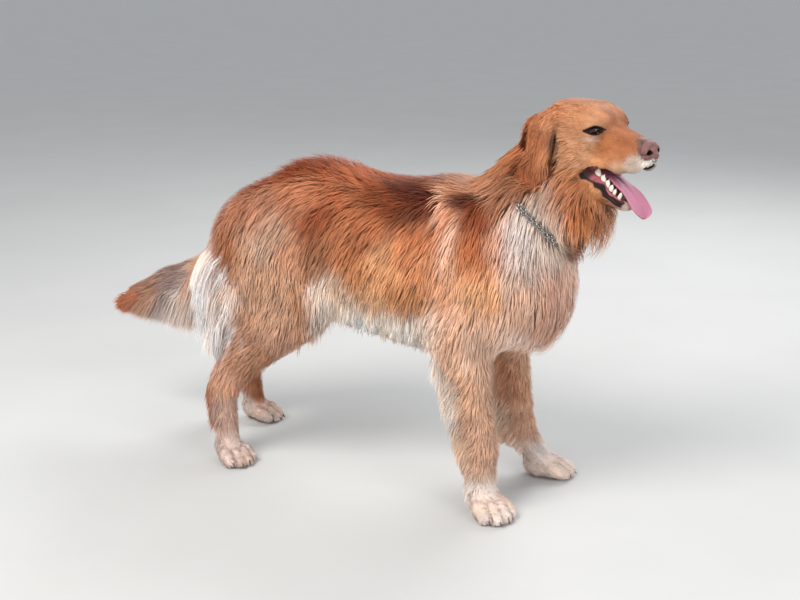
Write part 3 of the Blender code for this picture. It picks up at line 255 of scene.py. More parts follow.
def lower_jaw(q):
    """The jaw, opened about its joint."""
    m = jaw_local(q); m[:, 1] = np.abs(m[:, 1])
    d = chain(m, [(-0.060, 0.037, -0.052), (-0.010, 0.0315, -0.058), (0.030, 0.0215, -0.0595), (0.066, 0.0115, -0.0565), (0.078, 0.003, -0.0550)],
              [0.018, 0.0125, 0.0100, 0.0090, 0.0085], 0.012)
    d = smin(d, chain(m, [(-0.060, 0, -0.070), (0.000, 0, -0.0665), (0.040, 0, -0.0640), (0.072, 0, -0.0585)], [0.020, 0.0150, 0.0105, 0.0085], 0.01), 0.012)
    return d

EAR_ROWS = [  # height, front edge, rear edge, distance of the flap from the midline
    (0.026, -0.076, -0.094, 0.0370), (0.010, -0.066, -0.112, 0.0575), (-0.012, -0.061, -0.124, 0.0685), (-0.040, -0.064, -0.128, 0.0735),
    (-0.066, -0.070, -0.126, 0.0755), (-0.086, -0.078, -0.117, 0.0760), (-0.098, -0.090, -0.105, 0.0760)]

def ears(q, s, thick=0.0033):
    """A hanging flap. s is +1 for the left ear and -1 for the right one."""
    m = q.copy(); m[:, 1] *= s
    R = np.array(EAR_ROWS)[::-1]
    g = np.linspace(R[0, 0], R[-1, 0], 64)
    z = np.clip(m[:, 2], R[0, 0], R[-1, 0])
    fr, re, mid = (np.interp(z, g, pchip(R[:, 0], R[:, i], g)) for i in (1, 2, 3))
    c, h = (fr + re) / 2, (fr - re) / 2
    over = np.abs(m[:, 2] - z)
    across = np.abs(m[:, 0] - c) - h
    mid = mid + 0.006 * ((m[:, 0] - c) / 0.03) ** 2 * -1.0
    flat = np.abs(m[:, 1] - mid) - thick
    edge = np.where(over > 0, np.sqrt(np.maximum(across, 0) ** 2 + over ** 2), across * 0.9)
    return smax(edge, flat, 0.006)

def ear_room(q, s, clear):
    """The space that a hanging ear and all outside it take up."""
    m = q.copy(); m[:, 1] *= s
    R = np.array(EAR_ROWS)[::-1]
    z = np.clip(m[:, 2], R[0, 0], R[-1, 0])
    fr, re, mid = (np.interp(z, R[:, 0], R[:, i]) for i in (1, 2, 3))
    over = np.abs(m[:, 2] - z)
    across = np.sqrt(np.maximum(np.abs(m[:, 0] - (fr + re) / 2) - (fr - re) / 2, 0) ** 2 + over ** 2) - 0.008
    mid = mid - 0.006 * ((m[:, 0] - (fr + re) / 2) / 0.03) ** 2
    return smax(smax(across, mid - clear - m[:, 1], 0.006), m[:, 2] + 0.008, 0.012)

def skin_body(p):
    d = trunk(p)
    d = smin(d, neck(p), 0.05)
    for n, J in LEGS.items():
        d = smin(d, foreleg(p, J) if n.startswith("fore") else hindleg(p, J), 0.030)
    return d

def mouth(q):
    """The space between the jaws."""
    j = jaw_local(q)
    w = np.interp(q[:, 0], (-0.06, -0.01, 0.03, 0.08), (0.018, 0.0245, 0.0215, 0.0120)).astype(np.float32)
    return smax(smax(q[:, 2] + 0.044, -(j[:, 2] + 0.0535), 0.006), smax(np.abs(q[:, 1]) - w, -(q[:, 0] + 0.048), 0.01), 0.006)

# ---------------------------------------------------------------- coat
COAT = [  # place, depth, reach
    ((0.10, 0, 0.60), 0.015, 0.08), ((0.0, 0, 0.60), 0.019, 0.07), ((-0.08, 0, 0.60), 0.044, 0.055), ((-0.155, 0, 0.595), 0.038, 0.05),
    ((-0.22, 0, 0.56), 0.020, 0.045), ((-0.27, 0, 0.54), 0.015, 0.05), ((-0.33, 0, 0.46), 0.014, 0.05), ((0.17, 0, 0.58), 0.018, 0.06),
    ((0.10, 0.12, 0.45), 0.020, 0.10), ((0.10, -0.12, 0.45), 0.020, 0.10), ((-0.05, 0.12, 0.45), 0.018, 0.10), ((-0.05, -0.12, 0.45), 0.018, 0.10),
    ((-0.2, 0.10, 0.40), 0.018, 0.09), ((-0.2, -0.10, 0.40), 0.018, 0.09),
    ((0.05, 0, 0.29), 0.016, 0.08), ((-0.10, 0, 0.34), 0.016, 0.07),
    ((0.30, 0, 0.36), 0.020, 0.07), ((0.36, 0, 0.45), 0.018, 0.07),
    ((0.31, 0.07, 0.56), 0.022, 0.05), ((0.31, -0.07, 0.56), 0.022, 0.05), ((0.33, 0.08, 0.63), 0.012, 0.045), ((0.33, -0.08, 0.63), 0.012, 0.045), ((0.25, 0, 0.62), 0.016, 0.06), ((0.32, 0, 0.70), 0.010, 0.05), ((0.39, 0, 0.57), 0.026, 0.05),
    ((0.25, 0.12, 0.24), 0.009, 0.05), ((0.25, -0.12, 0.24), 0.009, 0.05),
    ((0.26, 0.1, 0.12), 0.006, 0.05), ((0.26, -0.1, 0.12), 0.006, 0.05), ((0.30, 0.1, 0.02), 0.0035, 0.05), ((0.30, -0.1, 0.02), 0.0035, 0.05),
    ((-0.25, -0.1, 0.23), 0.010, 0.05), ((-0.30, 0.1, 0.23), 0.010, 0.05),
    ((-0.28, -0.1, 0.13), 0.006, 0.05), ((-0.35, 0.1, 0.13), 0.006, 0.05), ((-0.25, -0.1, 0.03), 0.0035, 0.05), ((-0.33, 0.1, 0.03), 0.0035, 0.05),
    ((-0.45, 0, 0.37), 0.014, 0.08), ((-0.56, 0, 0.30), 0.014, 0.08)]
HEAD_COAT = [  # in head space
    ((-0.06, 0, 0.05), 0.006, 0.03), ((-0.02, 0, 0.035), 0.004, 0.025), ((0.02, 0, 0.012), 0.002, 0.03), ((0.08, 0, -0.01), 0.001, 0.03),
    ((0.05, 0.03, -0.04), 0.0015, 0.03), ((0.05, -0.03, -0.04), 0.0015, 0.03), ((0.0, 0.04, -0.02), 0.003, 0.02), ((0.0, -0.04, -0.02), 0.003, 0.02),
    ((-0.05, 0.06, -0.04), 0.008, 0.03), ((-0.05, -0.06, -0.04), 0.008, 0.03), ((-0.11, 0, 0.03), 0.009, 0.03), ((0.03, 0, -0.10), 0.003, 0.03), ((-0.08, 0.05, -0.08), 0.016, 0.04), ((-0.08, -0.05, -0.08), 0.016, 0.04)]

def coat_depth(p, q):
    num = np.zeros(len(p), np.float32); den = np.full(len(p), 1e-9, np.float32)
    for src, table, gain in ((p, COAT, 1.0), (q, HEAD_COAT, 3.0)):
        for c, v, r in table:
            w = gain * np.exp(-((src - v3(*c)) ** 2).sum(1) / (r * r))
            num += w * v; den += w
    return num / den

def plumes(p, d):
    """Joins the long hair outside the coat's ordinary depth to the field d."""
    d = smin(d, ellipsoid(p, (0.326, 0.0, 0.412), (0.069, 0.096, 0.128)), 0.03)                     # chest
    d = smin(d, ellipsoid(p, (0.405, -0.012, 0.535), (0.062, 0.070, 0.072)), 0.03)                 # throat
    for s in (-1, 1):
        d = smin(d, ellipsoid(p, (-0.322, s * 0.064, 0.330), (0.046, 0.042, 0.118), turn(0, -8, 0)), 0.03)   # breeches
    d = smin(d, loft(p, [(-0.12, 0.325, 0.38, 0.030), (-0.05, 0.291, 0.36, 0.055), (0.05, 0.289, 0.35, 0.06), (0.14, 0.279, 0.34, 0.06), (0.20, 0.278, 0.33, 0.045)], n=2.0), 0.03)
    for n, J in LEGS.items():
        if n.startswith("fore"):
            wr, el = np.array(J["wrist"]), np.array(J["elbow"])
            fin = tube(p, [el + (-0.02, 0, -0.03), el * 0.4 + wr * 0.6 + (-0.044, 0, 0.0), wr + (-0.035, 0, -0.034)], [0.026, 0.023, 0.014], 0.62)
        else:
            hk = np.array(J["hock"])
            fin = tube(p, [hk + (-0.002, 0, 0.050), hk + (-0.022, 0, -0.020), hk + (-0.034, 0, -0.064), hk + (-0.048, 0, -0.100)], [0.020, 0.022, 0.019, 0.009], 0.55)
        d = smin(d, fin, 0.018)
    return d

def body_coat(p):
    """Outside of the coat on neck, trunk and legs, and on the head apart from the free part of the lower jaw."""
    q = head_local(p)
    d = smin(skin_body(p), skull(q), 0.030) - coat_depth(p, q)
    d = plumes(p, d)
    for s in (-1, 1):
        d = smax(d, -ear_room(q, s, 0.0100), 0.004)
    return d

def jaw_coat(p):
    q = head_local(p)
    return lower_jaw(q) - 0.0025

def tail_coat(p):
    d = tail(p) - 0.014
    d = smin(d, limb(p, (-0.385, 0.003, 0.334), (-0.48, 0.006, 0.285), 0.045, 0.058, 0.6), 0.025)
    return smin(d, limb(p, (-0.48, 0.006, 0.285), (-0.600, 0.006, 0.250), 0.058, 0.026, 0.6), 0.025)

def ear_coat(p, s):
    return ears(head_local(p), s) - 0.006

def skin(p):
    q = head_local(p)
    h = smin(skull(q), lower_jaw(q), 0.006)
    d = smin(skin_body(p), smax(h, -mouth(q), 0.004), 0.02)
    for s in (-1, 1):
        d = smax(d, -ear_room(q, s, 0.0065), 0.004)
    d = smin(d, tail(p), 0.02)
    for s in (-1, 1):
        d = smin(d, ears(q, s), 0.004)
    return d

def envelope(p):
    d = np.minimum(body_coat(p), np.minimum(jaw_coat(p), tail_coat(p)))
    return np.minimum(d, np.minimum(ear_coat(p, -1), ear_coat(p, 1)))

# ---------------------------------------------------------------- finer form of the skin
def mirror(q):
    m = q.copy(); m[:, 1] = np.abs(m[:, 1]); return m

EYE_A = radians(EYE_OUT)
def eye_axes(s):
    """Outward, along the lids and up, in head space."""
    out = np.array((cos(EYE_A), s * sin(EYE_A), 0.06)); out /= np.linalg.norm(out)
    along = np.array((-sin(EYE_A), s * cos(EYE_A), -0.10)); along -= out * (along @ out); along /= np.linalg.norm(along)
    up = np.cross(out, along) * (1 if s > 0 else -1)
    return out, along, up
LID_HALF_LENGTH, LID_HALF_HEIGHT = 0.0175, 0.0072
def lid_frame(q, s):
    """Place of q along the lids, upwards and outwards from the eye's middle."""
    out, along, up = eye_axes(s)
    r = q - v3(EYE_C[0], s * EYE_C[1], EYE_C[2])
    return r @ along.astype(np.float32), r @ up.astype(np.float32), r @ out.astype(np.float32)
def lid_open(q, s, outside):
    """The almond between the lids. It is shallow at its corners and reaches the eyeball in the middle."""
    a, u, o = lid_frame(q, s)
    x = a / LID_HALF_LENGTH
    b = np.clip(1 - np.abs(x) ** 1.7, -0.6, 1)
    almond = np.maximum(u - LID_HALF_HEIGHT * 1.05 * b, -LID_HALF_HEIGHT * 0.90 * b - u) * 0.85
    allowed = 0.0016 + 0.0065 * np.clip(1 - (a / 0.0108) ** 2, 0, 1)
    return np.maximum(smax(almond, -(outside + allowed), 0.0008), 0.001 - o)

def face_plain(q):
    """Skull with the folds of the face, before the lids part."""
    m = mirror(q)
    d = skull(q)
    d = smin(d, ellipsoid(m, (EYE_C[0] + 0.0005, EYE_C[1] + 0.0010, EYE_C[2]), (0.0148, 0.0146, 0.0138)), 0.007)
    d = smin(d, limb(m, (0.010, 0.0195, 0.0150), (-0.018, 0.0385, 0.0160), 0.0058, 0.0050), 0.010)          # brow ridge
    d = smax(d, -limb(m, (0.016, 0.0285, -0.0125), (-0.010, 0.0445, -0.0160), 0.0010, 0.0010), 0.004)          # fold under the lower lid
    d = smin(d, ellipsoid(m, (0.055, 0.0225, -0.040), (0.026, 0.0110, 0.0150)), 0.010)                        # whisker pad
    d = smin(d, ellipsoid(m, (-0.015, 0.0090, 0.0105), (0.0245, 0.0265, 0.0180)), 0.022)                      # forehead over the eyes
    return smax(d, m[:, 0] * 0.646 + m[:, 1] * 0.763 - 0.0712, 0.006)                                         # corner of the muzzle

def gape(q):
    """The space between the jaws with its rounded corners."""
    return smin(mouth(q), corner(q), 0.004)

CORNER = [(-0.0035, 0.0395, -0.0715), (0.0060, 0.0375, -0.0715), (0.0170, 0.0340, -0.0722), (0.0300, 0.0300, -0.0745)]
def corner(q):
    """Where the lips part at the side of the mouth."""
    return chain(mirror(q), CORNER, [0.0070, 0.0094, 0.0122, 0.0150], 0.006)

def face(q):
    m = mirror(q)
    d0 = face_plain(q)
    d = d0
    for s in (-1, 1):
        d = smax(d, -ellipsoid(q, (EYE_C[0], s * EYE_C[1], EYE_C[2]), (EYE_R + 0.0003,) * 3), 0.0006)
        d = smax(d, -lid_open(q, s, d0), 0.0010)
    # seat of the nose leather, and the groove under it
    d = smax(d, -ellipsoid(m, (0.0900, 0.0, -0.0215), (0.0130, 0.0145, 0.0125)), 0.003)
    d = smax(d, -limb(q, (0.1000, 0, -0.0320), (0.0970, 0, -0.0520), 0.0016, 0.0012), 0.003)
    return d

GUM = [(-0.018, 0.0270, -0.0490), (0.000, 0.0245, -0.0495), (0.015, 0.0220, -0.0505), (0.031, 0.0188, -0.0520), (0.050, 0.0145, -0.0545), (0.066, 0.0085, -0.0560)]
def gums(q):
    return chain(mirror(jaw_local(q)), GUM, [0.0072, 0.0074, 0.0072, 0.0066, 0.0052, 0.0040], 0.004)

def jaw(q):
    """Lower jaw with its lip rolled down from the teeth."""
    j = jaw_local(q)
    above = smax(-(j[:, 2] + 0.0550), -(j[:, 0] + 0.020), 0.012)
    return smin(smax(lower_jaw(q), -above, 0.005), gums(q), 0.0015)

def paw_creases(p, d):
    """Grooves between the toes."""
    for n, J in LEGS.items():
        R = turn(J["turn"]); ft = np.array(J["foot"]); front = n.startswith("fore"); s = 1.08 if front else 0.98
        k = ft + R @ np.array((0.012 if front else 0.010, 0, 0))
        for ty, tx in ((-0.0150, 0.018), (0.0, 0.022), (0.0150, 0.018)):
            a = np.array((k[0], k[1], 0)) + R @ np.array(((tx - 0.004) * s, ty * s, 0.037)); b = np.array((k[0], k[1], 0)) + R @ np.array(((tx + 0.026) * s, ty * s * 1.15, 0.010))
            d = smax(d, -limb(p, a, b, 0.0016, 0.0022), 0.006)
    return d

def fine_skin(p):
    q = head_local(p)
    h = smax(face(q), -gape(q), 0.003)
    d = smin(skin_body(p), smin(h, smax(jaw(q), -mouth(q), 0.002), 0.004), 0.02)
    for s in (-1, 1):
        d = smax(d, -ear_room(q, s, 0.0065), 0.004)
    d = smin(d, tail(p), 0.02)
    for s in (-1, 1):
        d = smin(d, ears(q, s), 0.004)
    return paw_creases(p, d)

# ---------------------------------------------------------------- field to mesh, on a grid that is finer at the head and paws
def steps(lo, hi, base, zones):
    """Grid lines from lo to hi. A zone is (from, to, step)."""
    out = [lo]
    while out[-1] < hi:
        s = base
        for a, b, z in zones:
            edge = max(a - out[-1], out[-1] - b, 0.0)
            s = min(s, z + edge * 0.25)
        out.append(out[-1] + s)
    n = -len(out) % 4
    for _ in range(n):
        out.append(out[-1] + base)
    return np.array(out)

def sample_lines(field, X, Y, Z, block=4):
    """The field at the grid's nodes, worked out only near the surface."""
    ax = [X, Y, Z]
    nb = [len(a) // block for a in ax]
    mid = [a.reshape(-1, block).mean(1) for a in ax]
    half = [(a.reshape(-1, block)[:, -1] - a.reshape(-1, block)[:, 0]) / 2 for a in ax]
    g = np.stack(np.meshgrid(*mid, indexing="ij"), -1).reshape(-1, 3).astype(np.float32)
    r = np.sqrt(sum(h.reshape([-1 if i == k else 1 for k in range(3)]) ** 2 for i, h in enumerate(half)))
    F = np.concatenate([field(c) for c in np.array_split(g, max(1, len(g) // 200000))]).reshape(nb)
    near = np.abs(F) < r * 1.35 + 0.005
    big = F.astype(np.float32)
    for i in range(3):
        big = np.repeat(big, block, i)
        near = np.repeat(near, block, i)
    idx = np.argwhere(near)
    pts = np.stack([X[idx[:, 0]], Y[idx[:, 1]], Z[idx[:, 2]]], 1).astype(np.float32)
    big[near] = np.concatenate([field(c) for c in np.array_split(pts, max(1, len(pts) // 200000))])
    big[[0, -1]] = big[:, [0, -1]] = big[:, :, [0, -1]] = 1e-3
    return big

def nets(F, X, Y, Z):
    """Surface nets: one point in each cell that the surface crosses, one quad for each crossed edge."""
    s = F < 0
    nx, ny, nz = F.shape
    c = np.zeros((nx - 1, ny - 1, nz - 1), np.int8)
    for a in (0, 1):
        for b in (0, 1):
            for d in (0, 1):
                c += s[a:nx - 1 + a, b:ny - 1 + b, d:nz - 1 + d]
    cells = np.argwhere((c > 0) & (c < 8))
    ids = -np.ones(c.shape, np.int32)
    ids[tuple(cells.T)] = np.arange(len(cells))
    acc, cnt = np.zeros((len(cells), 3)), np.zeros(len(cells))
    for a in range(3):
        for u in (0, 1):
            for w in (0, 1):
                o = np.zeros(3, int)
                o[(a + 1) % 3], o[(a + 2) % 3] = u, w
                e = o.copy()
                e[a] = 1
                p0, p1 = F[tuple((cells + o).T)], F[tuple((cells + e).T)]
                cross = (p0 < 0) != (p1 < 0)
                t = np.where(cross, p0 / np.where(cross, p0 - p1, 1), 0)
                for k in range(3):
                    acc[:, k] += np.where(cross, t if k == a else o[k], 0)
                cnt += cross
    f = acc / cnt[:, None]
    v = np.stack([A[cells[:, i]] + f[:, i] * (A[cells[:, i] + 1] - A[cells[:, i]]) for i, A in enumerate((X, Y, Z))], 1)
    quads = []
    for a in range(3):
        b, d = (a + 1) % 3, (a + 2) % 3
        first, second = [slice(None)] * 3, [slice(None)] * 3
        first[a], second[a] = slice(0, -1), slice(1, None)
        idx = np.argwhere(s[tuple(first)] != s[tuple(second)])
        idx = idx[(idx[:, b] > 0) & (idx[:, d] > 0)]
        def cell(db, dd):
            j = idx.copy()
            j[:, b] -= db
            j[:, d] -= dd
            return ids[tuple(j.T)]
        q = np.stack([cell(1, 1), cell(0, 1), cell(0, 0), cell(1, 0)], 1)
        turned = ~s[tuple(idx.T)]
        q[turned] = q[turned][:, ::-1]
        quads.append(q)
    return v.astype(np.float32), np.concatenate(quads)

def uniform(field, lo, hi, h):
    ax = [np.arange(lo[i], hi[i] + 5 * h, h) for i in range(3)]
    ax = [a[:len(a) // 4 * 4] for a in ax]
    F = sample_lines(field, *ax)
    return nets(F, *ax)

def normals_of(v, quads):
    a, b, c, d = (v[quads[:, i]] for i in range(4))
    fn = np.cross(c - a, d - b)
    n = np.zeros_like(v)
    for i in range(4):
        for k in range(3):
            n[:, k] += np.bincount(quads[:, i], fn[:, k], len(v))
    return n / np.maximum(np.linalg.norm(n, axis=1), 1e-12)[:, None]

# ---------------------------------------------------------------- Blender helpers
def build(name, verts, faces, color=None, shift=True, smooth=True):
    """A mesh object from arrays. faces is one (n, 3) or (n, 4) array, or a list of such arrays."""
    faces = faces if isinstance(faces, list) else [faces]
    me = bpy.data.meshes.new(name)
    v = np.asarray(verts, np.float32) + (SHIFT if shift else 0)
    me.vertices.add(len(v))
    me.vertices.foreach_set("co", v.ravel())
    loops = np.concatenate([f.ravel() for f in faces]).astype(np.int32)
    total = np.concatenate([np.full(len(f), f.shape[1]) for f in faces]).astype(np.int32)
    start = np.concatenate([[0], np.cumsum(total)[:-1]]).astype(np.int32)
    me.loops.add(len(loops))
    me.loops.foreach_set("vertex_index", loops)
    me.polygons.add(len(total))
    me.polygons.foreach_set("loop_start", start)
    me.polygons.foreach_set("loop_total", total)
    me.polygons.foreach_set("use_smooth", np.full(len(total), smooth))
    me.update(calc_edges=True)
    if color is not None:
        at = me.color_attributes.new("coat", "FLOAT_COLOR", "POINT")
        c = np.ones((len(v), 4), np.float32)
        c[:, :color.shape[1]] = color
        at.data.foreach_set("color", c.ravel())
    ob = bpy.data.objects.new(name, me)
    bpy.context.scene.collection.objects.link(ob)
    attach(ob, "root")
    return ob

def linear(rgb):
    """sRGB numbers out of 255 to linear light."""
    c = np.asarray(rgb, float) / 255.0
    return np.where(c <= 0.04045, c / 12.92, ((c + 0.055) / 1.055) ** 2.4).astype(np.float32)

class Nodes:
    """Short spelling for a material's node tree."""
    def __init__(self, name):
        self.mat = bpy.data.materials.new(name)
        self.mat.use_nodes = True
        self.t = self.mat.node_tree
        self.b = self.t.nodes["Principled BSDF"]
    def add(self, kind, **sets):
        n = self.t.nodes.new(kind)
        for k, v in sets.items():
            if k in n.inputs:
                n.inputs[k].default_value = v
            else:
                setattr(n, k, v)
        return n
    def link(self, a, out, b, into):
        self.t.links.new(a.outputs[out], b.inputs[into])
    def set(self, **sets):
        for k, v in sets.items():
            self.b.inputs[k.replace("_", " ")].default_value = v
        return self
    def mixed(self, factor_node, factor_out, a, b, mode="MIX", factor=None):
        """Colour mix. a and b are colours or (node, output) pairs."""
        m = self.add("ShaderNodeMix", data_type="RGBA", blend_type=mode)
        if factor_node is not None:
            self.link(factor_node, factor_out, m, 0)
        else:
            m.inputs[0].default_value = factor
        for i, c in ((6, a), (7, b)):
            if isinstance(c, tuple) and hasattr(c[0], "outputs"):
                self.t.links.new(c[0].outputs[c[1]], m.inputs[i])
            else:
                m.inputs[i].default_value = (*c, 1) if len(c) == 3 else c
        return m
    def coords(self, scale):
        t = self.add("ShaderNodeTexCoord")
        m = self.add("ShaderNodeMapping")
        m.inputs["Scale"].default_value = (scale,) * 3 if not hasattr(scale, "__len__") else scale
        self.link(t, "Object", m, "Vector")
        return m
    def bump(self, height_node, out, strength, distance):
        b = self.add("ShaderNodeBump")
        b.inputs["Strength"].default_value = strength
        b.inputs["Distance"].default_value = distance
        self.link(height_node, out, b, "Height")
        self.link(b, "Normal", self.b, "Normal")
        return b

# ---------------------------------------------------------------- smooth disorder
def ripple(p, size, seed, dims=1):
    """Smooth noise about size across, from a few sine waves. Values run from about -1 to 1."""
    g = np.random.default_rng(seed)
    out = np.zeros((len(p), dims), np.float32)
    for _ in range(7):
        k = g.normal(size=(3, dims)).astype(np.float32)
        k *= (2 * pi / size / 1.4) * (0.6 + 0.8 * g.random((1, dims))) / np.linalg.norm(k, axis=0)
        out += np.sin(p @ k.astype(np.float32) + g.random((1, dims)).astype(np.float32) * 6.3)
    out /= 2.6
    return out[:, 0] if dims == 1 else out

def weigh(p, table, first):
    """Weights of the table's rows at p. A row is (place, reach, ...). Places off the midline count on both sides."""
    W = np.zeros((len(p), len(table)), np.float32)
    m = mirror(p)
    for i, row in enumerate(table):
        c = v3(row[0][0], abs(row[0][1]), row[0][2])
        W[:, i] = np.exp(-((m - c) ** 2).sum(1) / (row[1] * row[1])) + 1e-9
    return W

# ---------------------------------------------------------------- markings: place, reach, colour in sRGB numbers. Both sides alike. Some are painted shade, as noted where they stand.
MARKS = [
    # back: red hackles over the loin, dark saddle behind the shoulder, lighter band, dark shoulder
    ((-0.125, 0, 0.600), 0.045, (120, 52, 18)), ((-0.040, 0, 0.600), 0.045, (156, 84, 48)), ((-0.053, 0.080, 0.576), 0.030, (154, 92, 60)),
    ((-0.106, 0.100, 0.547), 0.030, (176, 114, 82)), ((-0.218, 0, 0.560), 0.040, (130, 78, 52)), ((-0.218, 0.100, 0.508), 0.035, (160, 108, 82)),
    ((0.055, 0, 0.590), 0.040, (130, 64, 30)), ((0.055, 0.090, 0.570), 0.030, (116, 56, 26)), ((0.130, 0.100, 0.556), 0.030, (92, 42, 21)),
    ((0.125, 0.050, 0.585), 0.025, (112, 58, 32)), ((0.142, 0.125, 0.512), 0.025, (170, 106, 70)), ((0.135, 0.130, 0.458), 0.030, (193, 130, 92)),
    ((0.192, 0.110, 0.545), 0.020, (198, 138, 106)), ((0.205, 0.125, 0.500), 0.020, (206, 152, 122)), ((0.160, 0.050, 0.600), 0.025, (168, 116, 84)), ((0.242, 0.115, 0.540), 0.024, (124, 60, 30)),
    ((0.248, 0.125, 0.500), 0.022, (150, 84, 50)), ((0.250, 0.130, 0.470), 0.025, (180, 111, 72)), ((0.253, 0.135, 0.425), 0.030, (204, 154, 114)),
    ((0.205, 0.135, 0.460), 0.022, (212, 164, 134)), ((0.200, 0.135, 0.415), 0.025, (203, 152, 120)), ((0.226, 0.135, 0.350), 0.035, (205, 167, 144)),
    ((0.202, 0.050, 0.600), 0.030, (172, 122, 94)), ((0.250, 0.0, 0.640), 0.035, (168, 112, 76)),
    # side
    ((0.015, 0.130, 0.509), 0.035, (165, 100, 64)), ((-0.071, 0.125, 0.518), 0.030, (132, 68, 37)), ((-0.020, 0.130, 0.470), 0.030, (164, 104, 70)),
    ((0.076, 0.130, 0.425), 0.035, (200, 148, 108)), ((0.111, 0.125, 0.380), 0.028, (178, 124, 86)), ((0.015, 0.130, 0.420), 0.030, (180, 120, 80)),
    ((-0.075, 0.120, 0.441), 0.030, (148, 98, 70)), ((-0.034, 0.120, 0.385), 0.026, (196, 170, 150)), ((0.045, 0.120, 0.370), 0.024, (190, 146, 110)),
    # belly fringe, cream
    ((-0.031, 0.080, 0.325), 0.035, (206, 194, 184)), ((0.054, 0.080, 0.316), 0.035, (208, 197, 186)), ((0.146, 0.080, 0.300), 0.035, (204, 188, 176)), ((0.0, 0.0, 0.300), 0.060, (200, 186, 174)),
    # thigh and breeches
    ((-0.181, 0.125, 0.469), 0.035, (178, 142, 120)), ((-0.151, 0.140, 0.398), 0.035, (176, 138, 112)), ((-0.123, 0.130, 0.438), 0.025, (184, 134, 106)),
    ((-0.200, 0.140, 0.420), 0.030, (180, 142, 117)), ((-0.149, 0.130, 0.318), 0.030, (184, 146, 122)), ((-0.090, 0.120, 0.355), 0.025, (172, 126, 96)),
    ((-0.255, 0.110, 0.430), 0.026, (152, 96, 66)), ((-0.299, 0.080, 0.447), 0.025, (162, 110, 84)), ((-0.300, 0.030, 0.480), 0.03, (160, 104, 72)),
    ((-0.338, 0.070, 0.390), 0.030, (232, 220, 212)), ((-0.325, 0.070, 0.330), 0.035, (226, 214, 208)), ((-0.325, 0.070, 0.265), 0.035, (220, 208, 203)), ((-0.290, 0.110, 0.340), 0.026, (214, 184, 166)),
    # hind legs
    ((-0.211, 0.110, 0.243), 0.035, (166, 124, 100)), ((-0.141, 0.110, 0.274), 0.030, (184, 144, 122)), ((-0.291, 0.100, 0.175), 0.025, (192, 148, 124)),
    # The three reddish marks at the back of the hock, at x -0.320 to -0.340, are reddish hair darkened by painted
    # shade.
    ((-0.285, 0.100, 0.095), 0.030, (178, 150, 138)), ((-0.255, 0.107, 0.015), 0.035, (208, 190, 182)), ((-0.320, 0.100, 0.200), 0.020, (166, 104, 72)), ((-0.335, 0.105, 0.120), 0.020, (162, 104, 76)), ((-0.340, 0.105, 0.070), 0.020, (160, 106, 80)),
    ((-0.372, 0.100, 0.150), 0.025, (180, 142, 120)), ((-0.345, 0.107, 0.015), 0.030, (206, 190, 182)),
    # chest, neck and throat
    ((0.296, 0.110, 0.498), 0.026, (194, 150, 128)), ((0.330, 0.100, 0.465), 0.028, (188, 167, 156)), ((0.386, 0.050, 0.406), 0.030, (208, 166, 146)),
    ((0.385, 0.0, 0.440), 0.035, (214, 184, 166)), ((0.374, 0.060, 0.352), 0.030, (196, 154, 132)), ((0.346, 0.090, 0.393), 0.028, (206, 172, 152)), ((0.300, 0.060, 0.310), 0.035, (222, 196, 182)),
    ((0.356, 0.080, 0.530), 0.026, (200, 184, 174)), ((0.367, 0.070, 0.491), 0.026, (190, 174, 164)), ((0.325, 0.100, 0.530), 0.022, (204, 184, 172)),
    ((0.290, 0.100, 0.583), 0.028, (150, 102, 76)), ((0.325, 0.090, 0.622), 0.026, (128, 76, 48)), ((0.330, 0.030, 0.690), 0.030, (156, 98, 64)), ((0.355, 0.080, 0.585), 0.018, (172, 142, 124)),
    ((0.416, 0.050, 0.551), 0.026, (178, 110, 68)), ((0.436, 0.030, 0.505), 0.026, (190, 136, 100)), ((0.392, 0.075, 0.585), 0.022, (164, 106, 74)), ((0.375, 0.085, 0.560), 0.016, (186, 150, 130)),
    # forelegs
    ((0.248, 0.120, 0.300), 0.035, (203, 168, 145)), ((0.262, 0.100, 0.215), 0.030, (196, 158, 132)), ((0.270, 0.100, 0.120), 0.030, (192, 156, 134)),
    ((0.192, 0.100, 0.205), 0.025, (212, 196, 182)), ((0.215, 0.100, 0.110), 0.025, (206, 180, 160)), ((0.290, 0.100, 0.012), 0.035, (220, 206, 198)), ((0.250, 0.050, 0.200), 0.030, (186, 136, 108)),
    # tail
    # The dark greyish-pink mark at the middle of the tail, (-0.480, 0, 0.350), is darkened with painted shade of the
    # shadowed streaks there.
    ((-0.340, 0, 0.430), 0.030, (176, 126, 96)), ((-0.400, 0, 0.385), 0.030, (186, 152, 130)), ((-0.480, 0, 0.350), 0.035, (130, 106, 98)), ((-0.550, 0, 0.312), 0.030, (146, 110, 92)),
    ((-0.605, 0, 0.270), 0.028, (158, 98, 70)), ((-0.430, 0, 0.280), 0.035, (208, 190, 178)), ((-0.520, 0, 0.245), 0.030, (192, 162, 142))]
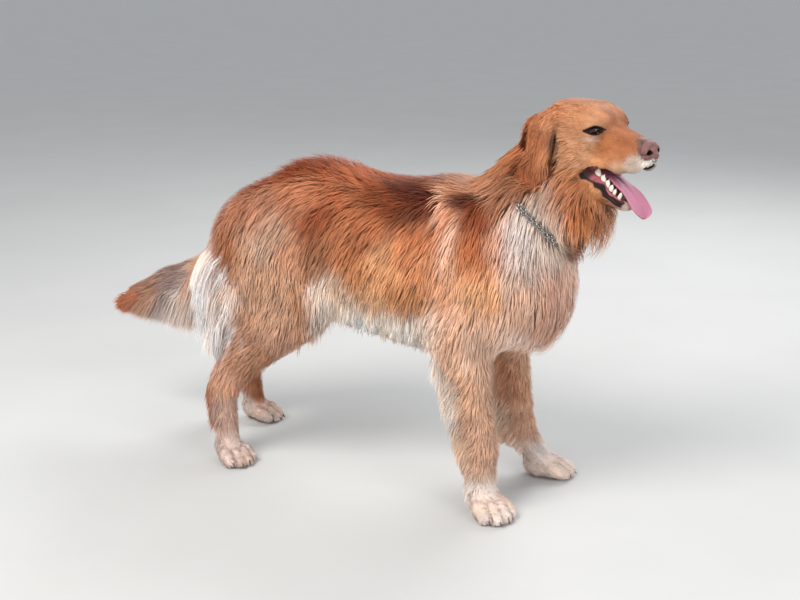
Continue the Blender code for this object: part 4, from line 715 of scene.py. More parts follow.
FACE_MARKS = [  # in head space
    ((-0.050, 0, 0.050), 0.030, (188, 132, 98)), ((-0.110, 0, 0.020), 0.030, (182, 122, 86)), ((-0.010, 0, 0.040), 0.018, (192, 136, 104)), ((0.020, 0, 0.012), 0.014, (182, 124, 92)),
    ((0.050, 0, 0.002), 0.016, (166, 108, 80)), ((0.080, 0, -0.002), 0.010, (156, 116, 100)), ((0.055, 0.028, -0.020), 0.016, (166, 101, 62)), ((0.035, 0.030, -0.035), 0.016, (180, 112, 68)),
    ((0.020, 0.032, -0.053), 0.012, (208, 148, 104)), ((0.050, 0.028, -0.055), 0.012, (212, 172, 140)), ((0.075, 0.020, -0.045), 0.011, (212, 194, 182)), ((0.092, 0.008, -0.045), 0.010, (232, 224, 218)),
    ((-0.005, 0.045, -0.020), 0.008, (200, 148, 112)), ((0.002, 0.035, 0.015), 0.008, (190, 134, 98)), ((-0.030, 0.045, 0.012), 0.016, (192, 134, 96)), ((-0.030, 0.045, -0.035), 0.020, (206, 152, 114)),
    ((-0.055, 0.050, -0.050), 0.020, (200, 140, 100)), ((-0.035, 0.040, -0.090), 0.018, (190, 128, 86)), ((0.000, 0.030, -0.112), 0.016, (200, 138, 96)), ((0.035, 0.020, -0.128), 0.012, (206, 158, 126)),
    # The two dark marks before the ear, at (-0.084, 0.058, -0.044) and (-0.088, 0.058, -0.066), are painted shade in
    # the gap between ear and cheek.
    ((0.062, 0, -0.130), 0.014, (228, 216, 208)), ((-0.020, 0, -0.120), 0.025, (184, 122, 82)), ((-0.080, 0.060, 0.010), 0.016, (192, 130, 90)), ((-0.095, 0.078, -0.030), 0.020, (174, 108, 70)), ((-0.084, 0.058, -0.044), 0.008, (104, 70, 54)), ((-0.088, 0.058, -0.066), 0.008, (104, 72, 58)),
    ((-0.100, 0.078, -0.085), 0.020, (158, 94, 60)), ((-0.066, 0.072, -0.050), 0.010, (198, 136, 98)), ((-0.075, 0.050, -0.090), 0.022, (178, 118, 82))]
MARK_RGB = np.array([linear(m[2]) for m in MARKS])
FACE_RGB = np.array([linear(m[2]) for m in FACE_MARKS])
# marks with an edge: name, place, half sizes, lean in the side view in degrees, colour, strength
PATCHES = [
    ("saddle", (0.088, 0.080, 0.581), (0.070, 0.060, 0.018), -12, (78, 29, 10), 0.93), ("end of the saddle", (0.134, 0.100, 0.550), (0.022, 0.045, 0.018), -50, (92, 40, 18), 0.85),
    ("light lock", (0.158, 0.085, 0.574), (0.013, 0.040, 0.026), 15, (214, 164, 136), 0.90), ("below the light lock", (0.170, 0.112, 0.540), (0.014, 0.045, 0.020), -20, (212, 160, 132), 0.60), ("light band", (0.197, 0.125, 0.498), (0.011, 0.050, 0.060), -14, (222, 176, 150), 0.75),
    ("dark shoulder", (0.209, 0.085, 0.566), (0.028, 0.060, 0.015), -4, (66, 18, 3), 0.92), ("under the dark shoulder", (0.228, 0.110, 0.545), (0.022, 0.050, 0.022), -10, (112, 50, 18), 0.70), ("red shoulder", (0.236, 0.125, 0.500), (0.017, 0.040, 0.055), -14, (166, 96, 56), 0.55),
    ("behind the ribs", (-0.070, 0.120, 0.520), (0.030, 0.040, 0.016), 35, (128, 66, 34), 0.60), ("rump", (-0.238, 0.060, 0.552), (0.040, 0.045, 0.014), 30, (120, 58, 30), 0.65),
    ("breeches", (-0.318, 0.070, 0.312), (0.074, 0.100, 0.112), 4, (212, 207, 206), 0.92), ("top of the tail", (-0.450, 0.0, 0.392), (0.110, 0.060, 0.018), 22, (216, 184, 166), 0.60), ("fringe", (0.050, 0.0, 0.318), (0.155, 0.120, 0.030), -5, (220, 216, 212), 0.82),
    ("groin", (-0.060, 0.080, 0.350), (0.034, 0.060, 0.050), 20, (222, 208, 198), 0.75), ("neck", (0.325, 0.085, 0.510), (0.035, 0.050, 0.055), 20, (208, 196, 190), 0.60),
    ("elbow", (0.170, 0.100, 0.330), (0.030, 0.050, 0.045), 0, (222, 202, 188), 0.60), ("tip of the tail", (-0.600, 0.010, 0.262), (0.034, 0.040, 0.036), 0, (176, 106, 74), 0.75),
    # The back of the hock patch is reddish hair darkened by painted shade.
    ("back of the hock", (-0.345, 0.100, 0.120), (0.022, 0.050, 0.085), 5, (158, 96, 64), 0.70), ("underside of the tail", (-0.455, 0.0, 0.244), (0.130, 0.080, 0.056), 20, (210, 199, 194), 0.82)]
PATCH_RGB = [linear(r[4]) for r in PATCHES]
# The patch named shade before the ear is painted shade; the one under the eye is a pale marking.
HEAD_PATCHES = [("shade before the ear", (-0.0575, 0.066, -0.046), (0.0085, 0.024, 0.040), (92, 66, 54), 0.80), ("under the eye", (0.004, 0.045, -0.0125), (0.014, 0.014, 0.0040), (206, 176, 158), 0.70)]
GAIN = np.array((1.16, 1.14, 1.12), np.float32)
def marking(p):
    """Colour of the coat at p in linear light: the named marks, softly blended, then those with an edge, with painted
    shade before the ears among them.
    """
    q = head_local(p)
    A = weigh(p, MARKS, 2)
    B = weigh(q, FACE_MARKS, 2) * 3.0
    total = A.sum(1) + B.sum(1)
    c = (A @ MARK_RGB * GAIN + B @ FACE_RGB * 0.94) / total[:, None]
    m = mirror(p)
    wobble = ripple(p, 0.05, 71) * 0.12 + ripple(p, 0.016, 72) * 0.12
    for (name, at, half, lean, rgb, much), lin in zip(PATCHES, PATCH_RGB):
        x, y, z = m[:, 0] - at[0], m[:, 1] - at[1], m[:, 2] - at[2]
        a = radians(lean)
        u, w = x * cos(a) + z * sin(a), z * cos(a) - x * sin(a)
        r = np.sqrt((u / half[0]) ** 2 + (y / half[1]) ** 2 + (w / half[2]) ** 2) + wobble
        k = np.clip((1.30 - r) / 0.60, 0, 1)
        k = (k * k * (3 - 2 * k) * much)[:, None]
        c = c * (1 - k) + lin * GAIN * k
    m = mirror(q)
    for name, at, half, rgb, much in HEAD_PATCHES:
        r = np.linalg.norm((m - np.array(at, np.float32)) / np.array(half, np.float32), axis=1) + wobble * 0.6
        k = np.clip((1.35 - r) / 0.70, 0, 1)
        k = (k * k * (3 - 2 * k) * much)[:, None]
        c = c * (1 - k) + linear(rgb) * k
    return c

# ---------------------------------------------------------------- lie of the coat: place, reach, direction. y is outwards.
LIE = [
    ((0.33, 0, 0.69), 0.05, (-0.55, 0, -0.6)), ((0.33, 0.08, 0.60), 0.05, (-0.25, 0.1, -0.95)), ((0.30, 0.09, 0.53), 0.05, (-0.3, 0.1, -0.95)), ((0.24, 0, 0.62), 0.05, (-1, 0, -0.5)),
    ((0.18, 0, 0.58), 0.05, (-1, 0, -0.05)), ((0.05, 0, 0.59), 0.06, (-1, 0, 0)), ((-0.08, 0, 0.60), 0.06, (-1, 0, 0.15)), ((-0.2, 0, 0.57), 0.05, (-1, 0, -0.2)), ((-0.28, 0, 0.52), 0.05, (-0.7, 0, -0.6)),
    ((-0.31, 0, 0.47), 0.04, (-0.6, 0, -0.75)), ((0.25, 0.10, 0.50), 0.05, (-0.12, 0.05, -1)), ((0.20, 0.10, 0.42), 0.05, (-0.18, 0, -0.97)), ((0.16, 0.10, 0.54), 0.03, (-0.35, 0, -0.9)),
    ((0.10, 0.12, 0.50), 0.05, (-0.42, 0, -0.9)), ((0.0, 0.12, 0.47), 0.06, (-0.45, 0, -0.9)), ((-0.1, 0.11, 0.46), 0.05, (-0.35, 0, -0.9)), ((0.05, 0.11, 0.37), 0.05, (-0.30, 0, -0.95)), ((0.13, 0.12, 0.42), 0.05, (-0.32, 0, -0.95)),
    ((0.05, 0.08, 0.56), 0.04, (-0.75, 0, -0.65)), ((-0.08, 0.08, 0.56), 0.04, (-0.65, 0.1, -0.7)), ((-0.16, 0.10, 0.52), 0.04, (-0.45, 0.1, -0.85)),
    ((-0.12, 0.10, 0.40), 0.035, (0.25, 0, -0.95)), ((0.05, 0.05, 0.29), 0.05, (-0.2, 0, -0.97)), ((-0.08, 0.05, 0.33), 0.05, (-0.1, 0, -1)), ((0.15, 0.06, 0.29), 0.05, (-0.3, 0, -0.95)),
    ((-0.2, 0.12, 0.48), 0.05, (-0.25, 0, -0.95)), ((-0.2, 0.12, 0.38), 0.05, (-0.10, 0, -1)), ((-0.26, 0.10, 0.46), 0.03, (-0.2, 0, -0.95)), ((-0.17, 0.12, 0.42), 0.03, (0.12, 0, -1)), ((-0.14, 0.12, 0.33), 0.04, (-0.25, 0, -1)), ((-0.30, 0.08, 0.38), 0.05, (-0.5, 0.1, -0.9)),
    ((-0.32, 0.06, 0.28), 0.05, (-0.25, 0, -1)), ((-0.22, 0.10, 0.25), 0.04, (-0.7, 0, -0.75)), ((-0.14, 0.10, 0.27), 0.04, (-0.3, 0, -0.9)),
    ((-0.31, 0.10, 0.16), 0.03, (-0.25, 0, -1)), ((-0.33, 0.10, 0.10), 0.03, (-0.45, 0, -0.9)), ((-0.28, 0.107, 0.10), 0.03, (0, 0, -1)), ((-0.26, 0.107, 0.03), 0.03, (0.7, 0, -0.6)), ((-0.36, 0.10, 0.10), 0.03, (-0.15, 0, -1)), ((-0.34, 0.107, 0.02), 0.03, (0.7, 0, -0.6)),
    ((0.36, 0, 0.50), 0.05, (0.2, 0.1, -1)), ((0.37, 0, 0.42), 0.05, (0.0, 0.05, -1)), ((0.33, 0, 0.34), 0.05, (-0.5, 0, -0.85)), ((0.32, 0.08, 0.43), 0.05, (-0.15, 0.0, -1)), ((0.25, 0, 0.29), 0.05, (-0.8, 0, -0.5)),
    ((0.42, 0, 0.55), 0.04, (0.25, 0.05, -0.95)), ((0.42, 0.05, 0.52), 0.04, (0.1, 0.1, -1)), ((0.45, 0, 0.60), 0.04, (-0.3, 0, -0.9)),
    ((0.265, 0.10, 0.30), 0.04, (-0.2, 0, -1)), ((0.27, 0.10, 0.20), 0.035, (-0.05, 0, -1)), ((0.21, 0.10, 0.25), 0.03, (-0.6, 0, -0.8)), ((0.21, 0.10, 0.15), 0.03, (-0.55, 0, -0.85)), ((0.24, 0.10, 0.09), 0.03, (-0.4, 0, -0.9)),
    ((0.275, 0.10, 0.10), 0.03, (0.05, 0, -1)), ((0.31, 0.10, 0.03), 0.03, (0.75, 0, -0.5)),
    ((-0.36, 0, 0.42), 0.04, (-0.6, 0, -0.7)), ((-0.45, 0, 0.35), 0.04, (-0.95, 0, -0.35)), ((-0.56, 0, 0.30), 0.05, (-0.9, 0, -0.4)), ((-0.40, 0, 0.30), 0.04, (-0.55, 0, -0.8)), ((-0.50, 0, 0.26), 0.04, (-0.8, 0, -0.6))]
FACE_LIE = [
    ((0.07, 0, 0), 0.025, (-1, 0, 0.05)), ((0.03, 0, 0.01), 0.02, (-1, 0, 0.35)), ((-0.01, 0, 0.04), 0.02, (-0.9, 0.1, 0.5)), ((-0.05, 0, 0.05), 0.03, (-1, 0.1, 0)), ((-0.11, 0, 0.03), 0.025, (-0.7, 0, -0.7)),
    ((0.06, 0.03, -0.03), 0.02, (-0.95, 0.1, -0.25)), ((0.03, 0.03, -0.05), 0.015, (-0.95, 0, -0.30)), ((-0.02, 0.04, -0.03), 0.02, (-0.95, 0.1, -0.25)), ((-0.05, 0.05, -0.06), 0.025, (-0.75, 0.1, -0.6)),
    ((0.09, 0, -0.045), 0.015, (-0.3, 0.2, -1)), ((0.0, 0.03, 0.018), 0.012, (-0.75, 0.3, 0.5)), ((0.0, 0.04, -0.016), 0.012, (-0.85, 0.2, -0.4)), ((-0.04, 0.05, 0.005), 0.02, (-1, 0.1, -0.2)),
    ((-0.085, 0.06, 0.01), 0.02, (-0.2, 0.4, -0.9)), ((-0.095, 0.075, -0.04), 0.025, (-0.1, 0, -1)), ((-0.10, 0.075, -0.09), 0.025, (-0.05, 0, -1)),
    ((0.03, 0, -0.12), 0.02, (-0.9, 0, -0.3)), ((0.06, 0, -0.125), 0.015, (-0.6, 0, -0.5)), ((-0.03, 0.03, -0.10), 0.02, (-0.6, 0.15, -0.8)), ((-0.08, 0.06, -0.10), 0.03, (-0.1, 0.1, -1)), ((-0.03, 0, -0.13), 0.03, (-0.5, 0, -0.9))]
LIE_D = np.array([r[2] for r in LIE], np.float32); LIE_D /= np.linalg.norm(LIE_D, axis=1)[:, None]
FACE_LIE_D = np.array([r[2] for r in FACE_LIE], np.float32); FACE_LIE_D /= np.linalg.norm(FACE_LIE_D, axis=1)[:, None]
def lie(p):
    """Direction that the hair runs at p."""
    q = head_local(p)
    A = weigh(p, LIE, 2)
    B = weigh(q, FACE_LIE, 2) * 3.0
    a = A @ LIE_D
    a[:, 1] *= np.clip(p[:, 1] / 0.020, -1, 1)
    b = B @ FACE_LIE_D
    b[:, 1] *= np.clip(q[:, 1] / 0.006, -1, 1)
    d = a + b @ HEAD_R.T
    return d / np.maximum(np.linalg.norm(d, axis=1), 1e-9)[:, None]

# ---------------------------------------------------------------- hair: place, reach, length, width, disorder, wave, how far tips stand out
HAIR = [
    ((0.05, 0, 0.59), 0.07, 0.045, 0.0017, 0.18, 0.0015, 0.003), ((-0.10, 0, 0.60), 0.055, 0.052, 0.0018, 0.50, 0.0020, 0.011), ((-0.22, 0, 0.55), 0.05, 0.042, 0.0017, 0.25, 0.0015, 0.004),
    ((0.17, 0, 0.59), 0.05, 0.050, 0.0017, 0.35, 0.0020, 0.007), ((0.05, 0.13, 0.45), 0.10, 0.045, 0.0017, 0.16, 0.0020, 0.002), ((-0.09, 0.12, 0.43), 0.05, 0.050, 0.0017, 0.20, 0.0020, 0.002),
    ((0.0, 0.06, 0.30), 0.06, 0.066, 0.0017, 0.28, 0.0035, 0.005), ((0.12, 0.06, 0.29), 0.05, 0.060, 0.0017, 0.28, 0.0030, 0.005), ((-0.18, 0.13, 0.42), 0.08, 0.046, 0.0017, 0.20, 0.0020, 0.002),
    ((-0.33, 0.07, 0.33), 0.06, 0.078, 0.0018, 0.22, 0.0040, 0.004), ((-0.22, 0.11, 0.25), 0.05, 0.026, 0.0014, 0.14, 0.0010, 0.001), ((-0.31, 0.10, 0.17), 0.025, 0.040, 0.0015, 0.18, 0.0020, 0.003), ((-0.33, 0.10, 0.10), 0.022, 0.038, 0.0015, 0.18, 0.0020, 0.003),
    ((-0.28, 0.10, 0.10), 0.03, 0.013, 0.0012, 0.12, 0.0, 0.0005), ((-0.26, 0.107, 0.02), 0.04, 0.0085, 0.0011, 0.14, 0.0, 0.0005), ((-0.36, 0.10, 0.10), 0.025, 0.014, 0.0012, 0.12, 0.0, 0.0005), ((-0.34, 0.107, 0.02), 0.03, 0.0085, 0.0011, 0.14, 0.0, 0.0005),
    ((0.25, 0.12, 0.48), 0.06, 0.048, 0.0017, 0.18, 0.0020, 0.002), ((0.23, 0.13, 0.36), 0.05, 0.040, 0.0016, 0.18, 0.0020, 0.002), ((0.270, 0.10, 0.22), 0.035, 0.017, 0.0013, 0.12, 0.0, 0.0008), ((0.275, 0.10, 0.10), 0.035, 0.012, 0.0012, 0.12, 0.0, 0.0006),
    ((0.205, 0.10, 0.22), 0.030, 0.052, 0.0015, 0.22, 0.0030, 0.006), ((0.225, 0.10, 0.12), 0.026, 0.044, 0.0015, 0.22, 0.0030, 0.006), ((0.30, 0.10, 0.02), 0.04, 0.0085, 0.0011, 0.14, 0.0, 0.0005),
    ((0.37, 0, 0.45), 0.07, 0.064, 0.0018, 0.22, 0.0045, 0.003), ((0.33, 0, 0.33), 0.06, 0.060, 0.0018, 0.22, 0.0035, 0.004), ((0.31, 0.09, 0.58), 0.05, 0.055, 0.0017, 0.20, 0.0030, 0.002), ((0.30, 0, 0.68), 0.05, 0.042, 0.0016, 0.25, 0.0020, 0.003),
    ((0.42, 0, 0.53), 0.05, 0.058, 0.0018, 0.22, 0.0035, 0.003), ((-0.36, 0, 0.42), 0.04, 0.045, 0.0017, 0.18, 0.0020, 0.002), ((-0.47, 0, 0.32), 0.05, 0.075, 0.0018, 0.18, 0.0030, 0.002), ((-0.56, 0, 0.28), 0.05, 0.078, 0.0018, 0.18, 0.0030, 0.002)]
FACE_HAIR = [
    ((-0.06, 0, 0.05), 0.030, 0.013, 0.0010, 0.12, 0.0003, 0.0006), ((-0.01, 0, 0.035), 0.020, 0.009, 0.0009, 0.10, 0.0, 0.0004), ((0.05, 0, 0), 0.028, 0.005, 0.0008, 0.10, 0.0, 0.0002), ((0.06, 0.028, -0.03), 0.022, 0.006, 0.0008, 0.12, 0.0, 0.0003),
    ((0, 0.04, 0), 0.013, 0.0048, 0.0007, 0.10, 0.0, 0.0002), ((0.09, 0, -0.045), 0.014, 0.006, 0.0008, 0.14, 0.0, 0.0004), ((0.03, 0.03, -0.05), 0.015, 0.008, 0.0009, 0.14, 0.0, 0.0004), ((-0.03, 0.045, -0.03), 0.022, 0.011, 0.0009, 0.10, 0.0002, 0.0004),
    ((-0.06, 0.05, -0.06), 0.022, 0.020, 0.0011, 0.14, 0.0006, 0.0010), ((0, 0.03, -0.105), 0.016, 0.012, 0.0010, 0.16, 0.0004, 0.0008), ((0.05, 0, -0.125), 0.018, 0.010, 0.0009, 0.16, 0.0003, 0.0006), ((-0.03, 0, -0.12), 0.026, 0.034, 0.0014, 0.2, 0.0015, 0.002),
    ((-0.09, 0.07, 0), 0.024, 0.020, 0.0012, 0.16, 0.0008, 0.0008), ((-0.095, 0.075, -0.05), 0.028, 0.030, 0.0013, 0.18, 0.0020, 0.0010), ((-0.1, 0.075, -0.095), 0.018, 0.034, 0.0013, 0.20, 0.0020, 0.0010), ((-0.11, 0, 0.02), 0.024, 0.022, 0.0012, 0.18, 0.0010, 0.0015), ((-0.08, 0.05, -0.10), 0.026, 0.042, 0.0015, 0.2, 0.0025, 0.002)]
HAIR_N = np.array([r[2:] for r in HAIR], np.float32)
FACE_HAIR_N = np.array([r[2:] for r in FACE_HAIR], np.float32)
def hair(p):
    """Length, width, disorder, wave and stand of the hair at p."""
    A = weigh(p, HAIR, 2)
    B = weigh(head_local(p), FACE_HAIR, 2) * 3.0
    return (A @ HAIR_N + B @ FACE_HAIR_N) / (A.sum(1) + B.sum(1))[:, None]

# ---------------------------------------------------------------- the coat's outline on a grid, so that every hair can follow it
class Room:
    """A field on an even grid, read between its nodes."""
    def __init__(self, field, lo, hi, h, near_only=False):
        self.lo, self.h = np.array(lo, np.float32), h
        ax = [np.arange(lo[i], hi[i] + 4 * h, h) for i in range(3)]
        ax = [a[:len(a) // 4 * 4] for a in ax]
        if near_only:
            self.F = sample_lines(field, *ax)
        else:
            g = np.stack(np.meshgrid(*ax, indexing="ij"), -1).reshape(-1, 3).astype(np.float32)
            self.F = np.concatenate([field(c) for c in np.array_split(g, max(1, len(g) // 200000))]).reshape([len(a) for a in ax]).astype(np.float32)
        self.top = np.array(self.F.shape) - 2
        self.hi = self.lo + np.array(self.F.shape) * h
    def inside(self, p):
        return ((p > self.lo + 2 * self.h) & (p < self.hi - 3 * self.h)).all(1)
    def __call__(self, p):
        t = (p - self.lo) / self.h
        i = np.clip(t.astype(np.int32), 0, self.top)
        f = np.clip(t - i, 0, 1)
        F = self.F
        x, y, z = i.T
        fx, fy, fz = f.T
        c = [[[F[x + a, y + b, z + d] for d in (0, 1)] for b in (0, 1)] for a in (0, 1)]
        z0 = [[c[a][b][0] * (1 - fz) + c[a][b][1] * fz for b in (0, 1)] for a in (0, 1)]
        y0 = [z0[a][0] * (1 - fy) + z0[a][1] * fy for a in (0, 1)]
        val = y0[0] * (1 - fx) + y0[1] * fx
        gx = y0[1] - y0[0]
        gy = (z0[0][1] - z0[0][0]) * (1 - fx) + (z0[1][1] - z0[1][0]) * fx
        gz = sum((c[a][b][1] - c[a][b][0]) * (fx if a else 1 - fx) * (fy if b else 1 - fy) for a in (0, 1) for b in (0, 1))
        g = np.stack([gx, gy, gz], 1)
        return val, g / np.maximum(np.linalg.norm(g, axis=1), 1e-9)[:, None]

COLLAR_AT, COLLAR_NORMAL = np.array((0.3500, -0.006, 0.5350), np.float32), np.array((0.70, 0.04, 0.71), np.float32)
COLLAR_NORMAL = COLLAR_NORMAL / np.linalg.norm(COLLAR_NORMAL)

def paths(root, normal, depth, length, disorder, wave, stand, under, phase, K, room):
    """Points along each hair, from its root out to the coat's outline and on along it."""
    P = [root]
    n = len(root)
    step = (length / K)[:, None]
    drift = rng.normal(size=(n, 3)).astype(np.float32) * disorder[:, None] * 0.42 + ripple(root, 0.045, 5, 3) * (0.01 + disorder[:, None] * 0.26) + ripple(root, 0.11, 6, 3) * 0.06
    out = normal
    for k in range(1, K + 1):
        s = k / K
        here = P[-1]
        f = lie(here) + drift
        f -= out * (f * out).sum(1)[:, None]
        f /= np.maximum(np.linalg.norm(f, axis=1), 1e-6)[:, None]
        lift = np.clip(depth / (length * 0.45), 0.1, 1.6)[:, None] * max(0.0, 1.0 - s * 1.3)
        d = f + out * lift
        d /= np.linalg.norm(d, axis=1)[:, None]
        Q = here + d * step
        e, g = room(Q)
        r = min(1.0, s / 0.62)
        r = r * r * (3 - 2 * r)
        away = np.abs((Q - COLLAR_AT) @ COLLAR_NORMAL)
        neck_only = np.exp(-((Q - COLLAR_AT) ** 2).sum(1) / 0.014)
        shown = np.clip((Q[:, 0] - 0.306) / 0.016, 0, 1) * np.clip((np.abs(Q[:, 1] - COLLAR_AT[1]) - 0.006) / 0.014, 0, 1)
        press = 0.013 * np.exp(-(away / 0.010) ** 2) * neck_only * shown
        want = depth * (1 - r) + under * r - stand * s * s + press
        move = np.clip(-e - want, -0.8 * step[:, 0], 1.0 * step[:, 0])
        Q = Q + g * move[:, None]
        out = g
        if wave is not None:
            side = np.cross(f, g)
            bend = wave * 0.20 * (np.sin(phase + s * length / 0.036 * 2 * pi) - np.sin(phase + (s - 1 / K) * length / 0.036 * 2 * pi))
            Q = Q + side * bend[:, None]
        Q[:, 2] = np.maximum(Q[:, 2], 0.0015)
        P.append(Q.astype(np.float32))
    return np.stack(P, 1)

def locks(P, root, size, pull, g):
    """Draws the hairs together into pointed locks, each about so large across."""
    n = len(root)
    cell = np.random.default_rng(g).permutation(n)
    area = size
    lead = cell[:max(1, int(n * area))]
    tree = kdtree.KDTree(len(lead))
    for i, j in enumerate(lead):
        tree.insert(root[j], int(j))
    tree.balance()
    who = np.array([tree.find(r)[1] for r in root])
    K = P.shape[1] - 1
    for k in range(1, K + 1):
        w = (pull * (k / K) ** 1.3)[:, None]
        P[:, k] = P[:, k] * (1 - w) + (P[who, k] + 0.22 * (root - root[who])) * w
    return P, who

# ---------------------------------------------------------------- skin
def glide(x, a, b):
    t = np.clip((x - a) / (b - a), 0, 1)
    return t * t * (3 - 2 * t)

X = steps(-0.64, 0.58, 0.0044, [(0.385, 0.56, 0.0018), (0.415, 0.475, 0.0013), (0.25, 0.36, 0.0032), (-0.42, -0.24, 0.0032)])
Y = steps(-0.180, 0.180, 0.0044, [(-0.115, 0.075, 0.0023), (-0.066, -0.034, 0.0013), (-0.005, 0.026, 0.0016), (0.085, 0.125, 0.0030)])
Z = steps(-0.006, 0.775, 0.0045, [(0.0, 0.060, 0.0024), (0.555, 0.755, 0.0019), (0.686, 0.722, 0.0013)])
SV, SQ = nets(sample_lines(fine_skin, X, Y, Z), X, Y, Z)
SN = normals_of(SV, SQ)
SV[:, 2] = np.maximum(SV[:, 2], 0.0008)

NOSE = [(0.060, -0.0370, -0.0060, 0.0160), (0.070, -0.0395, -0.0055, 0.0180), (0.079, -0.0410, -0.0055, 0.0186), (0.088, -0.0410, -0.0075, 0.0170), (0.0945, -0.0395, -0.0120, 0.0128), (0.0985, -0.0370, -0.0175, 0.0070)]
def nose_field(p, nostrils=True):
    m = mirror(head_local(p))
    d = loft(m, NOSE, n=2.5) - 0.0012
    d = smin(d, ellipsoid(m, (0.0895, 0.0125, -0.0215), (0.0080, 0.0065, 0.0095)), 0.003)      # wing of the nostril
    if not nostrils:
        return d
    d = smax(d, -limb(m, (0.1020, 0.0105, -0.0230), (0.0800, 0.0130, -0.0235), 0.0044, 0.0026), 0.0016)
    d = smax(d, -limb(m, (0.0970, 0.0120, -0.0255), (0.0830, 0.0210, -0.0290), 0.0016, 0.0012), 0.0016)     # slit at the side
    return smax(d, -limb(m, (0.1040, 0, -0.0160), (0.0985, 0, -0.0400), 0.0008, 0.0008), 0.0016)

def bareness(p):
    """How bare the skin is at p, and its colour there: lips, mouth, lids and the seat of the nose."""
    q = head_local(p)
    j = jaw_local(q)
    near_head = glide(q[:, 0], -0.060, -0.045) * (np.abs(q[:, 1]) < 0.06) * (q[:, 2] < 0.03) * (q[:, 2] > -0.16)
    m = gape(q)
    inside = (1 - glide(m, 0.0004, 0.0022)) * near_head
    on_jaw = (lower_jaw(q) < 0.0025) | (gums(q) < 0.001)
    low = glide(j[:, 2], -0.0648, -0.0620) * (1 - glide(m, 0.0078, 0.0100)) * glide(j[:, 0], -0.028, -0.012) * on_jaw * near_head * (1 - glide(j[:, 0], 0.076, 0.082))
    corner_dark = (1 - glide(corner(q), 0.0010, 0.0026)) * near_head
    up = (1 - glide(m, 0.0028, 0.0056)) * (1 - 0.95 * glide(q[:, 0], 0.066, 0.074) * glide(q[:, 2], -0.066, -0.062)) * near_head * (1 - glide(-q[:, 2], 0.085, 0.095))
    lips = np.maximum.reduce([low, up, corner_dark])
    gum = (1 - glide(gums(q), 0.0004, 0.0012)) * near_head
    nose_seat = 1 - glide(nose_field(p, False) + 0.0008 * ripple(p, 0.004, 44), 0.0006, 0.0026)
    lids = np.zeros(len(p), np.float32)
    d0 = face_plain(q)
    for s in (-1, 1):
        lids = np.maximum(lids, (1 - glide(lid_open(q, s, d0), 0.0003, 0.0014)) * (np.linalg.norm(q - v3(EYE_C[0], s * EYE_C[1], EYE_C[2]), axis=1) < 0.024))
    bare = np.maximum.reduce([inside, lips, nose_seat, lids, gum])
    # Deeper in the mouth the lining is painted darker, and darker again on its roof: painted shade inside the mouth.
    deep = glide(-q[:, 0], -0.030, 0.040)[:, None]
    roof = glide(q[:, 2], -0.056, -0.048)[:, None]
    lining = linear((168, 92, 100)) * (1 - deep) + linear((84, 36, 44)) * deep
    lining = lining * (1 - 0.6 * roof)
    colour = linear((36, 24, 24)) * np.ones((len(p), 1), np.float32)
    within = (inside * (1 - glide(q[:, 0], 0.052, 0.062)) * (1 - 0.80 * (1 - glide(np.abs(q[:, 0] + 0.006) + np.abs(q[:, 2] + 0.0715) * 0.5, 0.004, 0.012))))[:, None]
    colour = colour * (1 - within) + lining * within
    g = gum[:, None]
    colour = colour * (1 - g) + linear((168, 96, 104)) * g
    seat = nose_seat[:, None]
    colour = colour * (1 - seat) + linear((104, 70, 66)) * seat
    lid = lids[:, None]
    colour = colour * (1 - lid) + linear((38, 25, 23)) * lid
    return bare.astype(np.float32), colour.astype(np.float32)

BARE, BARE_RGB = bareness(SV)
under = marking(SV) * (0.80 + 0.10 * ripple(SV, 0.02, 31))[:, None]
SC = np.concatenate([under * (1 - BARE[:, None]) + BARE_RGB * BARE[:, None], BARE[:, None]], 1)
skin_ob = build("skin", SV, SQ, SC)

def fur_ground():
    n = Nodes("short_fur")
    a = n.add("ShaderNodeVertexColor", layer_name="coat")
    noise = n.add("ShaderNodeTexNoise", Scale=1.0, Detail=4.0)
    n.link(n.coords((420, 420, 130)), "Vector", noise, "Vector")
    ramp = n.add("ShaderNodeMapRange")
    for k, v in (("From Min", 0.3), ("From Max", 0.7), ("To Min", 0.72), ("To Max", 1.18)):
        ramp.inputs[k].default_value = v
    n.link(noise, "Fac", ramp, "Value")
    mul = n.add("ShaderNodeVectorMath", operation="SCALE")
    n.link(a, "Color", mul, 0)
    n.link(ramp, "Result", mul, "Scale")
    n.link(mul, "Vector", n.b, "Base Color")
    n.set(Roughness=0.8, Specular_IOR_Level=0.25)
    n.bump(noise, "Fac", 0.6, 0.0012)
    return n.mat

def wet_ground():
    n = Nodes("bare_skin")
    a = n.add("ShaderNodeVertexColor", layer_name="coat")
    noise = n.add("ShaderNodeTexNoise", Scale=260.0, Detail=5.0)
    n.link(n.coords(1.0), "Vector", noise, "Vector")
    m = n.mixed(noise, "Fac", (a, "Color"), (0.02, 0.012, 0.012), factor=None)
    ramp = n.add("ShaderNodeMapRange")
    for k, v in (("From Min", 0.55), ("From Max", 0.8), ("To Min", 0.0), ("To Max", 0.5)):
        ramp.inputs[k].default_value = v
    n.link(noise, "Fac", ramp, "Value")
    n.t.links.new(ramp.outputs["Result"], m.inputs[0])
    n.link(m, 2, n.b, "Base Color")
    n.set(Roughness=0.55, Specular_IOR_Level=0.16, Coat_Weight=0.02, Coat_Roughness=0.3)
    n.bump(noise, "Fac", 0.35, 0.0006)
    return n.mat

skin_ob.data.materials.append(fur_ground())
skin_ob.data.materials.append(wet_ground())
wet = (BARE[SQ].mean(1) > 0.5).astype(np.int32)
skin_ob.data.polygons.foreach_set("material_index", wet)
FLESH = ["barrel", "chest", "croup", "ear_left", "ear_right", "foreleg_left", "foreleg_right", "forepaw_left", "forepaw_right", "head",
         "hindpaw_left", "hindpaw_right", "lower_jaw", "neck", "shank_left", "shank_right", "shoulder_left", "shoulder_right", "tail", "thigh_left", "thigh_right"]
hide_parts(*FLESH)

